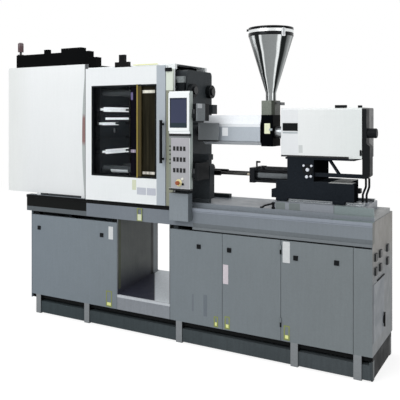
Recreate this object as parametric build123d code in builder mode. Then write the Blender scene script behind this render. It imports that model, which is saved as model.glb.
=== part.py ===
from build123d import *
import os

os.makedirs("parts", exist_ok=True)

# Driving sizes of the base, in millimetres
base_length = 2792
base_depth = 560
base_height = 966
beam_height = 132
beam_depth = 60
beam_overhang = 57
beam_lip = 20
beam_lip_proud = 5
beam_reveal = 29
tray_height = 32
leg_height = 120
post_width = 60
post_depth = 40
panel_depth = 20
panel_set_back = 4
panel_gap = 3
sheet = 3
foot_radius = 23
foot_pad = 16
foot_stem_radius = 12
foot_block = 50
foot_block_height = 60
foot_places = (2717, 2209, 1366, 499, 91)
corner_foot = 12
corner_foot_depth = 40
skirt_clearance = 8
skirt_set_back = 6
skirt_rise = 20
latch_size = 30
latch_proud = 6
latch_stem_radius = 7
latch_drop = 105
lock_places = (2708, 2060, 1203, 488, 220)
door_latch_from_right = 965

# Panel joints and the chute, measured from the right end of the base
chute_from_right = 1444
chute_width = 470
chute_sill_rise = 110
chute_rise = 70
cabinet_door_left = 1017
cabinet_door_right = 592
corner_panel_left = 115
hinge_knuckle = 5
hinge_leaf = 2
hinge_from_end = 90
cabinet_knuckle = 30
cabinet_pin = 2.5

# Reach of what stands out past the base
cover_overhang = 297
end_reach = 12
panel_reach = 145

# Clamping unit
platen_foot = 84
axis_set_back = 270
platen_width = 380
platen_height = 900
platen_corner = 28
fixed_platen_from_right = 1346
fixed_platen_thickness = 115
daylight = 676
moving_platen_thickness = 170
clamp_stroke = 420
ram_exposed = 120
cylinder_platen_thickness = 140
clamp_cylinder_length = 400
clamp_cylinder_radius = 140
ram_radius = 85
tie_spacing_y = 270
tie_spacing_z = 600
tie_radius = 28
tie_nut_radius = 50
tie_nut_length = 35
tie_end = 12
running_fit = 0.06
running_gap = 0.3
locating_radius = 50
locating_depth = 25
nozzle_hole_radius = 46
ejector_hole_radius = 20
ejector_stroke = 60
mould_bolt_radius = 7
mould_bolt_depth = 32
mould_bolt_y = 210
mould_bolt_z = 420
slot_throat = 18
slot_head = 30
slot_throat_depth = 18
slot_depth = 32
slot_pitch = 112
slot_count = 4
way_width = 40
way_height = 30
way_edge = 84

# Guards
cover_length = 872
cover_seat = 17
cover_height = 1041
guard_gap = 45
guard_height = 1024
rail_height = 35
rail_depth = 30
door_width = 738
door_thickness = 28
door_height = 1016
window_left = 59
window_right = 662
window_rise = 190
window_height = 692
mullion_left = 485
mullion_width = 40
mullion_thickness = 12
window_thickness = 6
post_gap = 4
guard_post_width = 58
guard_post_depth = 32
door_handle_rise = 464
door_handle_length = 310
hanger_left = 281
hanger_width = 130
hanger_height = 40
hanger_set_back = 4
roller_box_left = 38
roller_box_width = 54
roller_box_height = 55
duct_left = 84
duct_depth = 60
duct_set_back = 8
duct_height = 106
duct_box_height = 32
small_box_left = 314
small_box_width = 50
small_box_depth = 30
large_box_left = 499
large_box_right = 709
duct_tail = 76
duct_tail_height = 85
beacon_from_duct = 19
beacon_base_radius = 28
beacon_base_height = 8
beacon_stem_radius = 10
beacon_stem_height = 30
beacon_radius = 24
beacon_height = 110

# Control panel, measured from the right end of the base
head_left = 1378
head_right = 1207
head_rise = 134
head_depth = 45
head_front = 114
hinge_radius = 12
hinge_pin_radius = 6
low_hinge_rise = 90
high_hinge_rise = 500
keypad_rise = 15
keypad_height = 346
keypad_proud = 4
key_proud = 2
key_width = 18
key_height = 30
key_pitch_x = 27
key_pitch_z = 75
first_key_x = 49
first_key_drop = 72
screen_gap = 71
screen_height = 207
screen_left = 12
screen_right = 20
screen_fit = 0.3
head_cap = 46
bezel_below = 22
bezel_above = 34
bezel_side = 2
bezel_proud = 6
stop_radius = 15
stop_head = 12
stop_stem_radius = 6
stop_left = 85
stop_rise = 38
junction_left = 1409
junction_width = 156
junction_reach = 60
junction_rise = 44
junction_above = 105

# Bed and injection unit
deck_left = 1330
deck_thickness = 30
deck_inset = 60
slide_left = 672
slide_right = 65
slide_rear_right = 80
apron_right = 8
apron_thickness = 15
slide_height = 48
slide_inset = 70
guide_height = 18
guide_width = 30
guide_spacing = 260
carriage_gap = 4
carriage_stroke = 120
carriage_left = 700
low_body_left = 668
low_body_right = 140
low_body_cut = 58
low_body_tail = 100
body_left = 587
body_right = 405
front_plate_left = 600
front_plate = 60
rear_plate_left = 190
rear_plate_thickness = 50
body_width = 320
throat_left = 814
throat_length = 86
throat_width = 150
throat_drop = 97
throat_rise = 121
barrel_radius = 42
barrel_bore = 20
barrel_front = 1265
nozzle_radius = 28
nozzle_tip_depth = 30
barrel_cover_width = 180
barrel_cover_drop = 90
barrel_cover_rise = 120
barrel_cover_chamfer = 62
heater_length = 62
heater_thickness = 9
heater_count = 5
cover_left = 635
cover_right = 93
cover_width = 300
injection_cover_rise = 166
body_drop = 160
body_flange = 12
low_body_height = 118
step_height = 56
end_plate_drop = 282
end_plate_thickness = 26
end_plate_depth = 76
screw_stroke = 100
hopper_radius = 158
hopper_height = 605
hopper_rim = 55
cone_rise = 154
neck_radius = 36
neck_rise = 101
hopper_wall = 2
gate_thickness = 6
guard_drop = 70
guard_rise = 66
guard_standoff = 60
guard_length = 165
guard_reach = 130
guard_half = 9
guard_pin = 5
rod_drop = 297
rod_spacing = 120
rod_radius = 10
knob_radius = 19
knob_length = 208
touch_tube_radius = 31
touch_cap = 104
touch_cap_thickness = 36
touch_tie_radius = 8
touch_cylinder_left = 885
terminal_box_length = 75
terminal_box_depth = 70
terminal_box_height = 70
terminal_box_side = 67
terminal_box_rise = 130

# Hydraulic power unit inside the base
tank_height = 328
tank_wall = 4
tank_lid = 6
motor_from_end = 60
motor_length = 320
motor_radius = 105
motor_rise = 20
bell_length = 100
bell_radius = 70
pump_length = 120
pump_radius = 50
saddle_width = 40
saddle_half = 60

# Frame: the origin is at the middle of the overall box, on the floor
overall_length = cover_overhang + base_length + end_reach
overall_depth = panel_reach + base_depth
x_right = overall_length / 2 - end_reach
x_base = x_right - base_length
x_left = x_base - cover_overhang
y_front = panel_reach - overall_depth / 2
y_back = y_front + base_depth
y_axis = y_front + axis_set_back
y_middle = (y_front + y_back) / 2
z_axis = base_height + platen_foot + platen_height / 2
tray_top = leg_height + tray_height
beam_bottom = base_height - beam_height
panel_top = beam_bottom - beam_reveal
latch_height = panel_top - latch_drop
chute_sill = tray_top + chute_sill_rise
cover_bottom = base_height + cover_seat
cover_top = cover_bottom + cover_height
guard_top = base_height + guard_height
window_bottom = base_height + window_rise
window_top = window_bottom + window_height
head_bottom = base_height + head_rise
keypad_low = head_bottom + keypad_rise
keypad_high = keypad_low + keypad_height
screen_low = keypad_high + screen_gap
screen_high = screen_low + screen_height
head_top = screen_high + head_cap
throat_top = z_axis + throat_rise
body_top = z_axis - body_drop
injection_cover_top = z_axis + injection_cover_rise
hopper_top = throat_top + hopper_height
cone_bottom = throat_top + cone_rise
neck_bottom = throat_top + neck_rise
rod_height = z_axis - rod_drop
guard_z0 = z_axis - guard_drop
guard_z1 = z_axis + guard_rise

# Places along the machine
x_chute_right = x_right - chute_from_right
x_chute_left = x_chute_right - chute_width
x_fixed_back = x_right - fixed_platen_from_right
x_fixed_face = x_fixed_back - fixed_platen_thickness
x_moving_face = x_fixed_face - daylight
x_moving_back = x_moving_face - moving_platen_thickness
x_cylinder_face = x_moving_back - ram_exposed
x_cylinder_back = x_cylinder_face - cylinder_platen_thickness
platen_bottom = z_axis - platen_height / 2
platen_top = z_axis + platen_height / 2
x_cover_right = x_left + cover_length
x_door_left = x_cover_right
x_door_right = x_door_left + door_width
y_panel = y_front + panel_set_back


def block(x0, x1, y0, y1, z0, z1, mode=Mode.ADD):
    """Rectangular block between two opposite corners."""
    with Locations(((x0 + x1) / 2, (y0 + y1) / 2, (z0 + z1) / 2)):
        Box(abs(x1 - x0), abs(y1 - y0), abs(z1 - z0), mode=mode)


def rod(start, direction, length, radius, mode):
    """Round bar from a start point along a direction."""
    with Locations(Plane(origin=start, z_dir=direction)):
        Cylinder(radius, length, align=(Align.CENTER, Align.CENTER, Align.MIN), mode=mode)


def rod_x(x0, x1, y, z, radius, mode=Mode.ADD):
    """Round bar along X."""
    rod((min(x0, x1), y, z), (1, 0, 0), abs(x1 - x0), radius, mode)


def rod_y(y0, y1, x, z, radius, mode=Mode.ADD):
    """Round bar along Y."""
    rod((x, min(y0, y1), z), (0, 1, 0), abs(y1 - y0), radius, mode)


def rod_z(z0, z1, x, y, radius, mode=Mode.ADD):
    """Round bar along Z."""
    rod((x, y, min(z0, z1)), (0, 0, 1), abs(z1 - z0), radius, mode)


def front_pan(x0, x1, z0, z1, y0):
    """Folded sheet panel, open at the back."""
    block(x0, x1, y0, y0 + panel_depth, z0, z1)
    block(x0 + sheet, x1 - sheet, y0 + sheet, y0 + panel_depth, z0 + sheet, z1 - sheet, Mode.SUBTRACT)


def save(part, name):
    """Label a finished piece and write it."""
    part.label = name
    export_step(part, "parts/" + name + ".step")


# Base frame: folded top beams, cross beams and posts
cross_places = (
    x_base,
    x_chute_left - post_width,
    x_chute_right,
    x_right - deck_left,
    x_right - slide_left,
    x_right - sheet - post_width,
)
front_posts = (
    x_base,
    x_chute_left - post_width,
    x_chute_right,
    x_right - cabinet_door_left - post_width / 2,
    x_right - cabinet_door_right - post_width / 2,
    x_right - sheet - post_width,
)
with BuildPart() as long_beams:
    with BuildSketch(Plane.YZ.offset(x_base - beam_overhang)):
        with BuildLine():
            Polyline(
                (y_front + beam_lip_proud, beam_bottom),
                (y_front + beam_lip_proud, base_height - beam_lip),
                (y_front, base_height - beam_lip),
                (y_front, base_height),
                (y_front + beam_depth, base_height),
                (y_front + beam_depth, beam_bottom),
                close=True,
            )
        make_face()
    extrude(amount=base_length + beam_overhang)
    block(x_base, x_right - sheet, y_back - beam_depth, y_back, beam_bottom, base_height)
save(long_beams.part, "long_beams")

with BuildPart() as cross_beams:
    for x in cross_places:
        block(x, x + post_width, y_front + beam_depth, y_back - beam_depth, beam_bottom, base_height)
save(cross_beams.part, "cross_beams")

y_post = y_panel + panel_depth
y_rear_post = y_back - panel_depth - post_depth
panel_low = tray_top
x_c_door0 = x_right - cabinet_door_left
x_c_door1 = x_right - cabinet_door_right
x_cabinet_hinge = x_c_door1 + panel_gap / 2
y_cabinet_hinge = y_panel - hinge_knuckle
cabinet_hinge_levels = (panel_low + hinge_from_end, panel_top - hinge_from_end)
with BuildPart() as base_posts:
    for x in front_posts:
        block(x, x + post_width, y_post, y_post + post_depth, tray_top, beam_bottom)
        block(x, x + post_width, y_rear_post, y_rear_post + post_depth, tray_top, beam_bottom)
    for z in cabinet_hinge_levels:
        block(
            x_cabinet_hinge - hinge_leaf / 2, x_cabinet_hinge + hinge_leaf / 2, y_cabinet_hinge, y_post,
            z, z + cabinet_knuckle,
        )
        rod_z(z, z + cabinet_knuckle, x_cabinet_hinge, y_cabinet_hinge, hinge_knuckle)
        rod_z(
            z + cabinet_knuckle, z + 2 * cabinet_knuckle, x_cabinet_hinge, y_cabinet_hinge, cabinet_pin,
        )
save(base_posts.part, "base_posts")

# Floor tray under the whole base, open below, with set-back webs and plinth plates between the feet
foot_starts = []
for place in foot_places:
    foot_starts.append(min(max(x_right - place - foot_block / 2, x_base), x_right - 2 * sheet - foot_block))
web = y_post + foot_block
rear_web = 2 * y_middle - web
y_plinth = y_panel + skirt_set_back
rear_plinth = 2 * y_middle - y_plinth
plinth_top = leg_height - skirt_rise
bay_ends = foot_starts[1:] + [x_right - sheet - corner_foot - running_gap]
bays = [(start + foot_block, end) for start, end in zip(foot_starts, bay_ends)]
with BuildPart() as floor_tray:
    block(x_base, x_right - sheet, y_post, y_back - panel_depth, leg_height, tray_top)
    block(
        x_base + sheet, x_right - 2 * sheet, y_post + sheet, y_back - panel_depth - sheet,
        leg_height, tray_top - sheet, Mode.SUBTRACT,
    )
    for x0 in foot_starts:
        for y in (y_post, y_back - panel_depth - foot_block):
            block(x0, x0 + foot_block, y, y + foot_block, leg_height, tray_top)
    block(x_base, x_right - 2 * sheet, web, web + sheet, plinth_top - sheet, tray_top)
    block(x_base, x_right - 2 * sheet, rear_web - sheet, rear_web, plinth_top - sheet, tray_top)
    for x0, x1 in bays:
        block(x0, x1, y_plinth, web, plinth_top - sheet, plinth_top)
        block(x0, x1, y_plinth, y_plinth + sheet, skirt_clearance, plinth_top)
        block(x0, x1, rear_web, rear_plinth, plinth_top - sheet, plinth_top)
        block(x0, x1, rear_plinth - sheet, rear_plinth, skirt_clearance, plinth_top)
    block(
        x_right - 2 * sheet, x_right - sheet, y_post + corner_foot_depth + running_gap,
        y_back - panel_depth - corner_foot_depth - running_gap, skirt_clearance, leg_height,
    )
save(floor_tray.part, "floor_tray")

# Levelling feet: a stand plate to the panels and a levelling screw behind it, and a leg at each right corner
foot_shift = foot_block / 2
with BuildPart() as levelling_feet:
    for x0 in foot_starts:
        for y0, y1, behind in (
            (y_panel, y_post, y_post),
            (y_back - panel_depth, y_back, y_back - panel_depth - foot_block),
        ):
            block(x0, x0 + foot_block, y0, y1, 0, panel_low)
            block(
                x0, x0 + foot_block, behind, behind + foot_block, leg_height - foot_block_height, leg_height,
            )
            rod_z(0, foot_pad, x0 + foot_shift, behind + foot_shift, foot_radius)
            rod_z(
                foot_pad, leg_height - foot_block_height, x0 + foot_shift, behind + foot_shift,
                foot_stem_radius,
            )
    for y in (y_post, y_back - panel_depth - corner_foot_depth):
        block(x_right - sheet - corner_foot, x_right - sheet, y, y + corner_foot_depth, 0, leg_height)
save(levelling_feet.part, "levelling_feet")

# Lift-off front panels and the cabinet door
x_corner = x_right - corner_panel_left
front_panels = {
    "left_front_panel": (x_base + panel_gap, x_chute_left - panel_gap, 2),
    "middle_front_panel": (x_chute_right + panel_gap, x_c_door0 - panel_gap, 1),
    "right_front_panel": (x_c_door1 + panel_gap, x_corner - panel_gap, 2),
}
stem_hole = latch_stem_radius + running_fit
for name, (x0, x1, locks) in front_panels.items():
    with BuildPart() as panel:
        front_pan(x0, x1, panel_low, panel_top, y_panel)
        for place in lock_places:
            if x0 < x_right - place < x1:
                rod_y(y_panel, y_panel + sheet, x_right - place, latch_height, stem_hole, Mode.SUBTRACT)
    save(panel.part, name)

with BuildPart() as cabinet_door:
    front_pan(x_c_door0, x_c_door1, panel_low, panel_top, y_panel)
    rod_y(y_panel, y_panel + sheet, x_right - door_latch_from_right, latch_height, stem_hole, Mode.SUBTRACT)
    for z in cabinet_hinge_levels:
        z0 = z + cabinet_knuckle + running_gap
        z1 = z + 2 * cabinet_knuckle
        block(x_c_door1 - 8, x_cabinet_hinge, y_cabinet_hinge, y_panel, z0, z1)
        rod_z(z0, z1, x_cabinet_hinge, y_cabinet_hinge, hinge_knuckle)
        rod_z(z0, z1, x_cabinet_hinge, y_cabinet_hinge, cabinet_pin + running_fit, Mode.SUBTRACT)
save(cabinet_door.part, "cabinet_door")


def turn_lock(x):
    """Square quarter-turn lock with its stem and cam, on a front panel."""
    half = latch_size / 2
    block(x - half, x + half, y_panel - latch_proud, y_panel, latch_height - half, latch_height + half)
    rod_y(y_panel, y_panel + 3 * sheet, x, latch_height, latch_stem_radius)


with BuildPart() as panel_locks:
    for place in lock_places:
        turn_lock(x_right - place)
save(panel_locks.part, "panel_locks")

with BuildPart() as door_latch:
    turn_lock(x_right - door_latch_from_right)
save(door_latch.part, "door_latch")

# Corner panel folded round the right end, with its socket covers
socket_rows = (panel_top - 143, panel_top - 57)
socket_columns = (70, 190, 390)
socket_size = 46
breaker_y = y_front + 295
breaker_z = tray_top + 153
with BuildPart() as end_panel:
    block(x_corner, x_right, y_panel, y_panel + sheet, panel_low, panel_top)
    block(x_corner, x_corner + sheet, y_panel, y_panel + panel_depth, panel_low, panel_top)
    block(x_right - sheet, x_right, y_panel, y_back, panel_low, beam_bottom)
    block(x_right - sheet, x_right, y_front + beam_depth, y_back, beam_bottom, base_height)
    for column in socket_columns:
        for row in socket_rows:
            half = socket_size / 2
            block(
                x_right, x_right + end_reach, y_front + column - half, y_front + column + half,
                row - half, row + half,
            )
    rod_x(x_right - sheet, x_right, breaker_y, breaker_z, 8 + running_fit, Mode.SUBTRACT)
save(end_panel.part, "end_panel")

# Main switch: disc and lever on a shaft through the end panel
with BuildPart() as main_switch:
    rod_x(x_right - 20, x_right, breaker_y, breaker_z, 8)
    rod_x(x_right, x_right + 5, breaker_y, breaker_z, 26)
    block(x_right + 5, x_right + end_reach, breaker_y - 7, breaker_y + 7, breaker_z - 46, breaker_z + 46)
save(main_switch.part, "main_switch")

# Plain panels of the back and the left end
with BuildPart() as back_panels:
    block(x_base - sheet, x_base, y_panel, y_back - panel_depth, leg_height, beam_bottom)
    for x0, x1 in (
        (x_base + panel_gap, x_chute_left - panel_gap),
        (x_chute_right + panel_gap, x_c_door0 - panel_gap),
        (x_c_door0 + panel_gap, x_c_door1 - panel_gap),
        (x_c_door1 + panel_gap, x_right - sheet - panel_gap),
    ):
        block(x0, x1, y_back - panel_depth, y_back, panel_low, beam_bottom)
        block(
            x0 + sheet, x1 - sheet, y_back - panel_depth, y_back - sheet,
            panel_low + sheet, beam_bottom - sheet, Mode.SUBTRACT,
        )
save(back_panels.part, "back_panels")

# Parts chute: two side sheets, a sloped floor and a front sill
x_ch0 = x_chute_left + sheet
x_ch1 = x_chute_right - sheet
with BuildPart() as parts_chute:
    block(x_chute_left, x_ch0, y_panel, y_back, tray_top, beam_bottom)
    block(x_ch1, x_chute_right, y_panel, y_back, tray_top, beam_bottom)
    block(x_ch0, x_ch1, y_panel, y_panel + sheet, tray_top, chute_sill)
    with BuildSketch(Plane.YZ.offset(x_ch0)):
        with BuildLine():
            Polyline(
                (y_panel + sheet, chute_sill - sheet),
                (y_panel + sheet, chute_sill),
                (y_back, chute_sill + chute_rise),
                (y_back, chute_sill + chute_rise - sheet),
                close=True,
            )
        make_face()
    extrude(amount=x_ch1 - x_ch0)
save(parts_chute.part, "parts_chute")

# Machined deck plate on the right half of the bed
deck_top = base_height + deck_thickness
with BuildPart() as bed_deck:
    block(
        x_right - deck_left, x_right - sheet, y_front + deck_inset, y_back - deck_inset,
        base_height, deck_top,
    )
save(bed_deck.part, "bed_deck")

# Raised slide base with cable glands at its right end
slide_top = deck_top + slide_height
x_slide0 = x_right - slide_left
x_slide1 = x_right - slide_right
x_guide1 = x_right - slide_rear_right
cable_places = (x_right - 106, x_right - 82)
y_cable = y_axis - 80
gland_height = 18
y_slide0 = y_front + slide_inset
y_slide1 = 2 * y_axis - y_slide0
with BuildPart() as slide_base:
    block(x_slide0, x_slide1, y_slide0, y_axis, deck_top, slide_top)
    block(x_slide0, x_guide1, y_axis, y_slide1, deck_top, slide_top)
    block(x_slide1, x_right - apron_right, y_slide0, y_slide0 + apron_thickness, deck_top, slide_top)
    for x in cable_places:
        rod_z(slide_top, slide_top + gland_height, x, y_cable, 14)
save(slide_base.part, "slide_base")

# Linear guides of the injection carriage
guide_top = slide_top + guide_height
with BuildPart() as carriage_guides:
    for side in (-1, 1):
        yc = y_axis + side * guide_spacing / 2
        with BuildSketch(Plane.YZ.offset(x_slide0)):
            with BuildLine():
                Polyline(
                    (yc - guide_width / 2, slide_top),
                    (yc - guide_width / 2, slide_top + 5),
                    (yc - guide_width / 2 + 4, slide_top + 9),
                    (yc - guide_width / 2, slide_top + 13),
                    (yc - guide_width / 2, guide_top),
                    (yc + guide_width / 2, guide_top),
                    (yc + guide_width / 2, slide_top + 13),
                    (yc + guide_width / 2 - 4, slide_top + 9),
                    (yc + guide_width / 2, slide_top + 5),
                    (yc + guide_width / 2, slide_top),
                    close=True,
                )
            make_face()
        extrude(amount=x_guide1 - x_slide0)
save(carriage_guides.part, "carriage_guides")

# Hardened ways that carry the platens over the chute
way_top = base_height + way_height
x_ways = x_fixed_face - 2
y_ways = (y_front + way_edge, 2 * y_axis - y_front - way_edge - way_width)
with BuildPart() as clamp_ways:
    for y in y_ways:
        block(x_base, x_ways, y, y + way_width, base_height, way_top)
save(clamp_ways.part, "clamp_ways")


def platen_body(x0, x1, hole_radius):
    """Platen block with rounded corners and four tie bar holes."""
    with BuildSketch(Plane.YZ.offset(x0)) as face:
        with Locations((y_axis, z_axis)):
            RectangleRounded(platen_width, platen_height, platen_corner)
            with GridLocations(tie_spacing_y, tie_spacing_z, 2, 2):
                Circle(hole_radius, mode=Mode.SUBTRACT)
    extrude(face.sketch, amount=x1 - x0)


def mould_bolt_holes(x0, x1):
    """Four threaded holes for mould clamps."""
    with BuildSketch(Plane.YZ.offset(x0)) as face:
        with Locations((y_axis, z_axis)):
            with GridLocations(mould_bolt_y, mould_bolt_z, 2, 2):
                Circle(mould_bolt_radius)
    extrude(face.sketch, amount=x1 - x0, mode=Mode.SUBTRACT)


# Fixed platen on its feet and shoes, with the locating bore, bolt holes and the purge guard's pin
tie_hole = tie_radius + running_fit
x_guard0 = x_fixed_back + guard_standoff
guard_y = y_axis - guard_reach
y_guard_pin = guard_y + guard_half
z_guard_pin = guard_z1 - guard_half
shoe_length = 175
shoe_height = 28
shoe_reach = 20
with BuildPart() as fixed_platen:
    platen_body(x_fixed_face, x_fixed_back, tie_hole)
    rod_x(x_fixed_face, x_fixed_face + locating_depth, y_axis, z_axis, locating_radius, Mode.SUBTRACT)
    rod_x(x_fixed_face, x_fixed_back, y_axis, z_axis, nozzle_hole_radius, Mode.SUBTRACT)
    mould_bolt_holes(x_fixed_face, x_fixed_face + mould_bolt_depth)
    for y in y_ways:
        block(x_fixed_face, x_fixed_back, y, y + way_width, base_height, platen_bottom)
        block(
            x_fixed_back - shoe_reach, x_fixed_back + shoe_length, y, y + way_width,
            deck_top, deck_top + shoe_height,
        )
    block(
        x_fixed_back, x_guard0, y_guard_pin - guard_half, y_guard_pin + guard_half,
        z_guard_pin - guard_half, z_guard_pin + guard_half,
    )
    rod_x(x_guard0, x_guard0 + guard_length, y_guard_pin, z_guard_pin, guard_pin)
save(fixed_platen.part, "fixed_platen")

# Cylinder platen with the clamp cylinder cast behind it
ram_bore = ram_radius + running_fit
x_cylinder_end = x_cylinder_back - clamp_cylinder_length
end_wall = 40
with BuildPart() as clamp_cylinder:
    platen_body(x_cylinder_back, x_cylinder_face, tie_hole)
    rod_x(x_cylinder_end, x_cylinder_back, y_axis, z_axis, clamp_cylinder_radius)
    rod_x(x_cylinder_end + end_wall, x_cylinder_face, y_axis, z_axis, ram_bore, Mode.SUBTRACT)
    for y in y_ways:
        block(x_cylinder_back, x_cylinder_face, y, y + way_width, way_top, platen_bottom)
save(clamp_cylinder.part, "clamp_cylinder")

# Tie bars and their nuts
x_tie0 = x_cylinder_back - tie_nut_length - tie_end
x_tie1 = x_fixed_back + tie_nut_length + tie_end
tie_places = [
    (y_axis + sy * tie_spacing_y / 2, z_axis + sz * tie_spacing_z / 2) for sy in (-1, 1) for sz in (-1, 1)
]
with BuildPart() as tie_bars:
    for y, z in tie_places:
        rod_x(x_tie0, x_tie1, y, z, tie_radius)
save(tie_bars.part, "tie_bars")

with BuildPart() as tie_bar_nuts:
    for y, z in tie_places:
        for x0 in (x_cylinder_back - tie_nut_length, x_fixed_back):
            rod_x(x0, x0 + tie_nut_length, y, z, tie_nut_radius)
    for y, z in tie_places:
        rod_x(x_tie0, x_tie1, y, z, tie_hole, Mode.SUBTRACT)
save(tie_bar_nuts.part, "tie_bar_nuts")

# Moving platen with horizontal T-slots, ejector hole and slide shoes
with BuildPart() as moving_platen:
    platen_body(x_moving_back, x_moving_face, tie_radius + running_fit)
    for index in range(slot_count):
        z = z_axis + (index - (slot_count - 1) / 2) * slot_pitch
        with BuildSketch(Plane.XZ.offset(-y_axis - platen_width / 2)):
            with Locations((x_moving_face - slot_throat_depth / 2, z)):
                Rectangle(slot_throat_depth, slot_throat)
            with Locations((x_moving_face - (slot_throat_depth + slot_depth) / 2, z)):
                Rectangle(slot_depth - slot_throat_depth, slot_head)
        extrude(amount=platen_width, mode=Mode.SUBTRACT)
    rod_x(x_moving_back, x_moving_face, y_axis, z_axis, ejector_hole_radius, Mode.SUBTRACT)
    for y in y_ways:
        block(x_moving_back, x_moving_face, y, y + way_width, way_top + running_gap, platen_bottom)
save(moving_platen.part, "moving_platen")

# Ram of the clamp cylinder, bored for the ejector
x_ram_end = x_cylinder_end + end_wall + 10
pocket_radius = 42
pocket_length = 140
with BuildPart() as clamp_ram:
    rod_x(x_ram_end, x_moving_back, y_axis, z_axis, ram_radius)
    rod_x(x_moving_back - pocket_length, x_moving_back, y_axis, z_axis, pocket_radius, Mode.SUBTRACT)
save(clamp_ram.part, "clamp_ram")

# Ejector: piston in the ram's pocket and rod through the platen
x_piston0 = x_moving_back - pocket_length + 10
x_piston1 = x_piston0 + 30
with BuildPart() as ejector:
    rod_x(x_piston0, x_piston1, y_axis, z_axis, pocket_radius - running_fit)
    rod_x(x_piston1, x_moving_face - 8, y_axis, z_axis, ejector_hole_radius - running_fit)
save(ejector.part, "ejector")

# White sheet cover over the clamp end
y_guard0 = y_axis - platen_width / 2 - guard_gap - sheet
y_guard1 = y_axis + platen_width / 2 + guard_gap + sheet
spacer_places = (x_base + 30, x_cover_right - 70)
with BuildPart() as left_cover:
    block(x_left, x_cover_right, y_guard0, y_guard1, cover_bottom, cover_top)
    block(
        x_left + sheet, x_cover_right, y_guard0 + sheet, y_guard1 - sheet,
        cover_bottom, cover_top - sheet, Mode.SUBTRACT,
    )
    for x in spacer_places:
        for y in (y_guard0, y_guard1 - sheet):
            block(x, x + 40, y, y + sheet, base_height, cover_bottom)
save(left_cover.part, "left_cover")

# Door posts, rails and roof of the guard
x_post0 = x_door_right + post_gap
x_post1 = x_post0 + guard_post_width
rail_bottom = guard_top - rail_height
with BuildPart() as guard_frame:
    for y0, y1, r0, r1 in (
        (y_guard0 + post_gap - guard_post_depth, y_guard0 + post_gap, y_guard0, y_guard0 + rail_depth),
        (y_guard1 - post_gap, y_guard1 - post_gap + guard_post_depth, y_guard1 - rail_depth, y_guard1),
    ):
        block(x_post0, x_post1, y0, y1, base_height, rail_bottom)
        block(x_cover_right, x_post1, r0, r1, rail_bottom, guard_top)
    block(x_cover_right, x_post1, y_guard0, y_guard1, guard_top, guard_top + sheet)
save(guard_frame.part, "guard_frame")

# Sliding safety door in front, with window, handle and hanger bracket
y_door0 = y_front
y_door1 = y_front + door_thickness
door_bottom = base_height + running_gap
door_top = door_bottom + door_height
x_win0 = x_door_left + window_left
x_win1 = x_door_left + window_right
hanger_top = door_top + hanger_height
x_hanger = x_door_left + hanger_left
x_roller_box = x_hanger + roller_box_left
with BuildPart() as safety_door:
    block(x_door_left, x_door_right, y_door0, y_door1, door_bottom, door_top)
    block(x_win0, x_win1, y_door0, y_door1, window_bottom, window_top, Mode.SUBTRACT)
    block(
        x_win0 - 10, x_win1 + 10, y_door1 - window_thickness - 2, y_door1,
        window_bottom - 10, window_top + 10, Mode.SUBTRACT,
    )
    mullion = x_door_left + mullion_left
    block(mullion, mullion + mullion_width, y_door0, y_door0 + mullion_thickness, window_bottom, window_top)
    block(x_hanger, x_hanger + hanger_width, y_door0 + hanger_set_back, y_door1, door_top, hanger_top)
    block(
        x_roller_box, x_roller_box + roller_box_width, y_door0 + hanger_set_back, y_door1,
        hanger_top, hanger_top + roller_box_height,
    )
save(safety_door.part, "safety_door")

with BuildPart() as door_window:
    block(
        x_win0 - 10, x_win1 + 10, y_door1 - window_thickness - 2, y_door1 - 2,
        window_bottom - 10, window_top + 10,
    )
save(door_window.part, "door_window")

handle_x = x_door_right - 16
handle_low = base_height + door_handle_rise - door_handle_length / 2
handle_high = handle_low + door_handle_length
with BuildPart() as door_handle:
    rod_z(handle_low, handle_high, handle_x, y_door0 - 34, 11)
    for z in (handle_low + 30, handle_high - 30):
        rod_y(y_door0 - 34, y_door0, handle_x, z, 8)
save(door_handle.part, "door_handle")

# Sliding rear door with its tinted window
y_rear0 = 2 * y_axis - y_door1
y_rear1 = 2 * y_axis - y_door0
with BuildPart() as rear_door:
    block(x_door_left, x_door_right, y_rear0, y_rear1, door_bottom, door_top)
    block(x_win0, x_win1, y_rear0, y_rear1, window_bottom, window_top, Mode.SUBTRACT)
    block(
        x_win0 - 10, x_win1 + 10, y_rear0, y_rear0 + window_thickness + 2,
        window_bottom - 10, window_top + 10, Mode.SUBTRACT,
    )
save(rear_door.part, "rear_door")

with BuildPart() as rear_door_window:
    block(
        x_win0 - 10, x_win1 + 10, y_rear0 + 2, y_rear0 + window_thickness + 2,
        window_bottom - 10, window_top + 10,
    )
save(rear_door_window.part, "rear_door_window")

# Black service duct on the roof, with its two raised boxes and its low tail
duct_y0 = y_guard0 + duct_set_back
duct_y1 = duct_y0 + duct_depth
x_duct0 = x_left + duct_left
x_duct1 = x_cover_right
duct_top = cover_top + duct_height
x_tail = x_duct1 + duct_tail
with BuildPart() as service_duct:
    block(x_duct0, x_duct1, duct_y0, duct_y1, cover_top, duct_top)
    x_box = x_duct0 + small_box_left
    block(
        x_box, x_box + small_box_width, duct_y0, duct_y0 + small_box_depth,
        duct_top, duct_top + duct_box_height,
    )
    block(
        x_duct0 + large_box_left, x_duct0 + large_box_right, duct_y0, duct_y1,
        duct_top, duct_top + duct_box_height,
    )
    block(x_duct1, x_tail, duct_y0, duct_y1, guard_top + sheet, guard_top + sheet + duct_tail_height)
save(service_duct.part, "service_duct")

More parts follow.
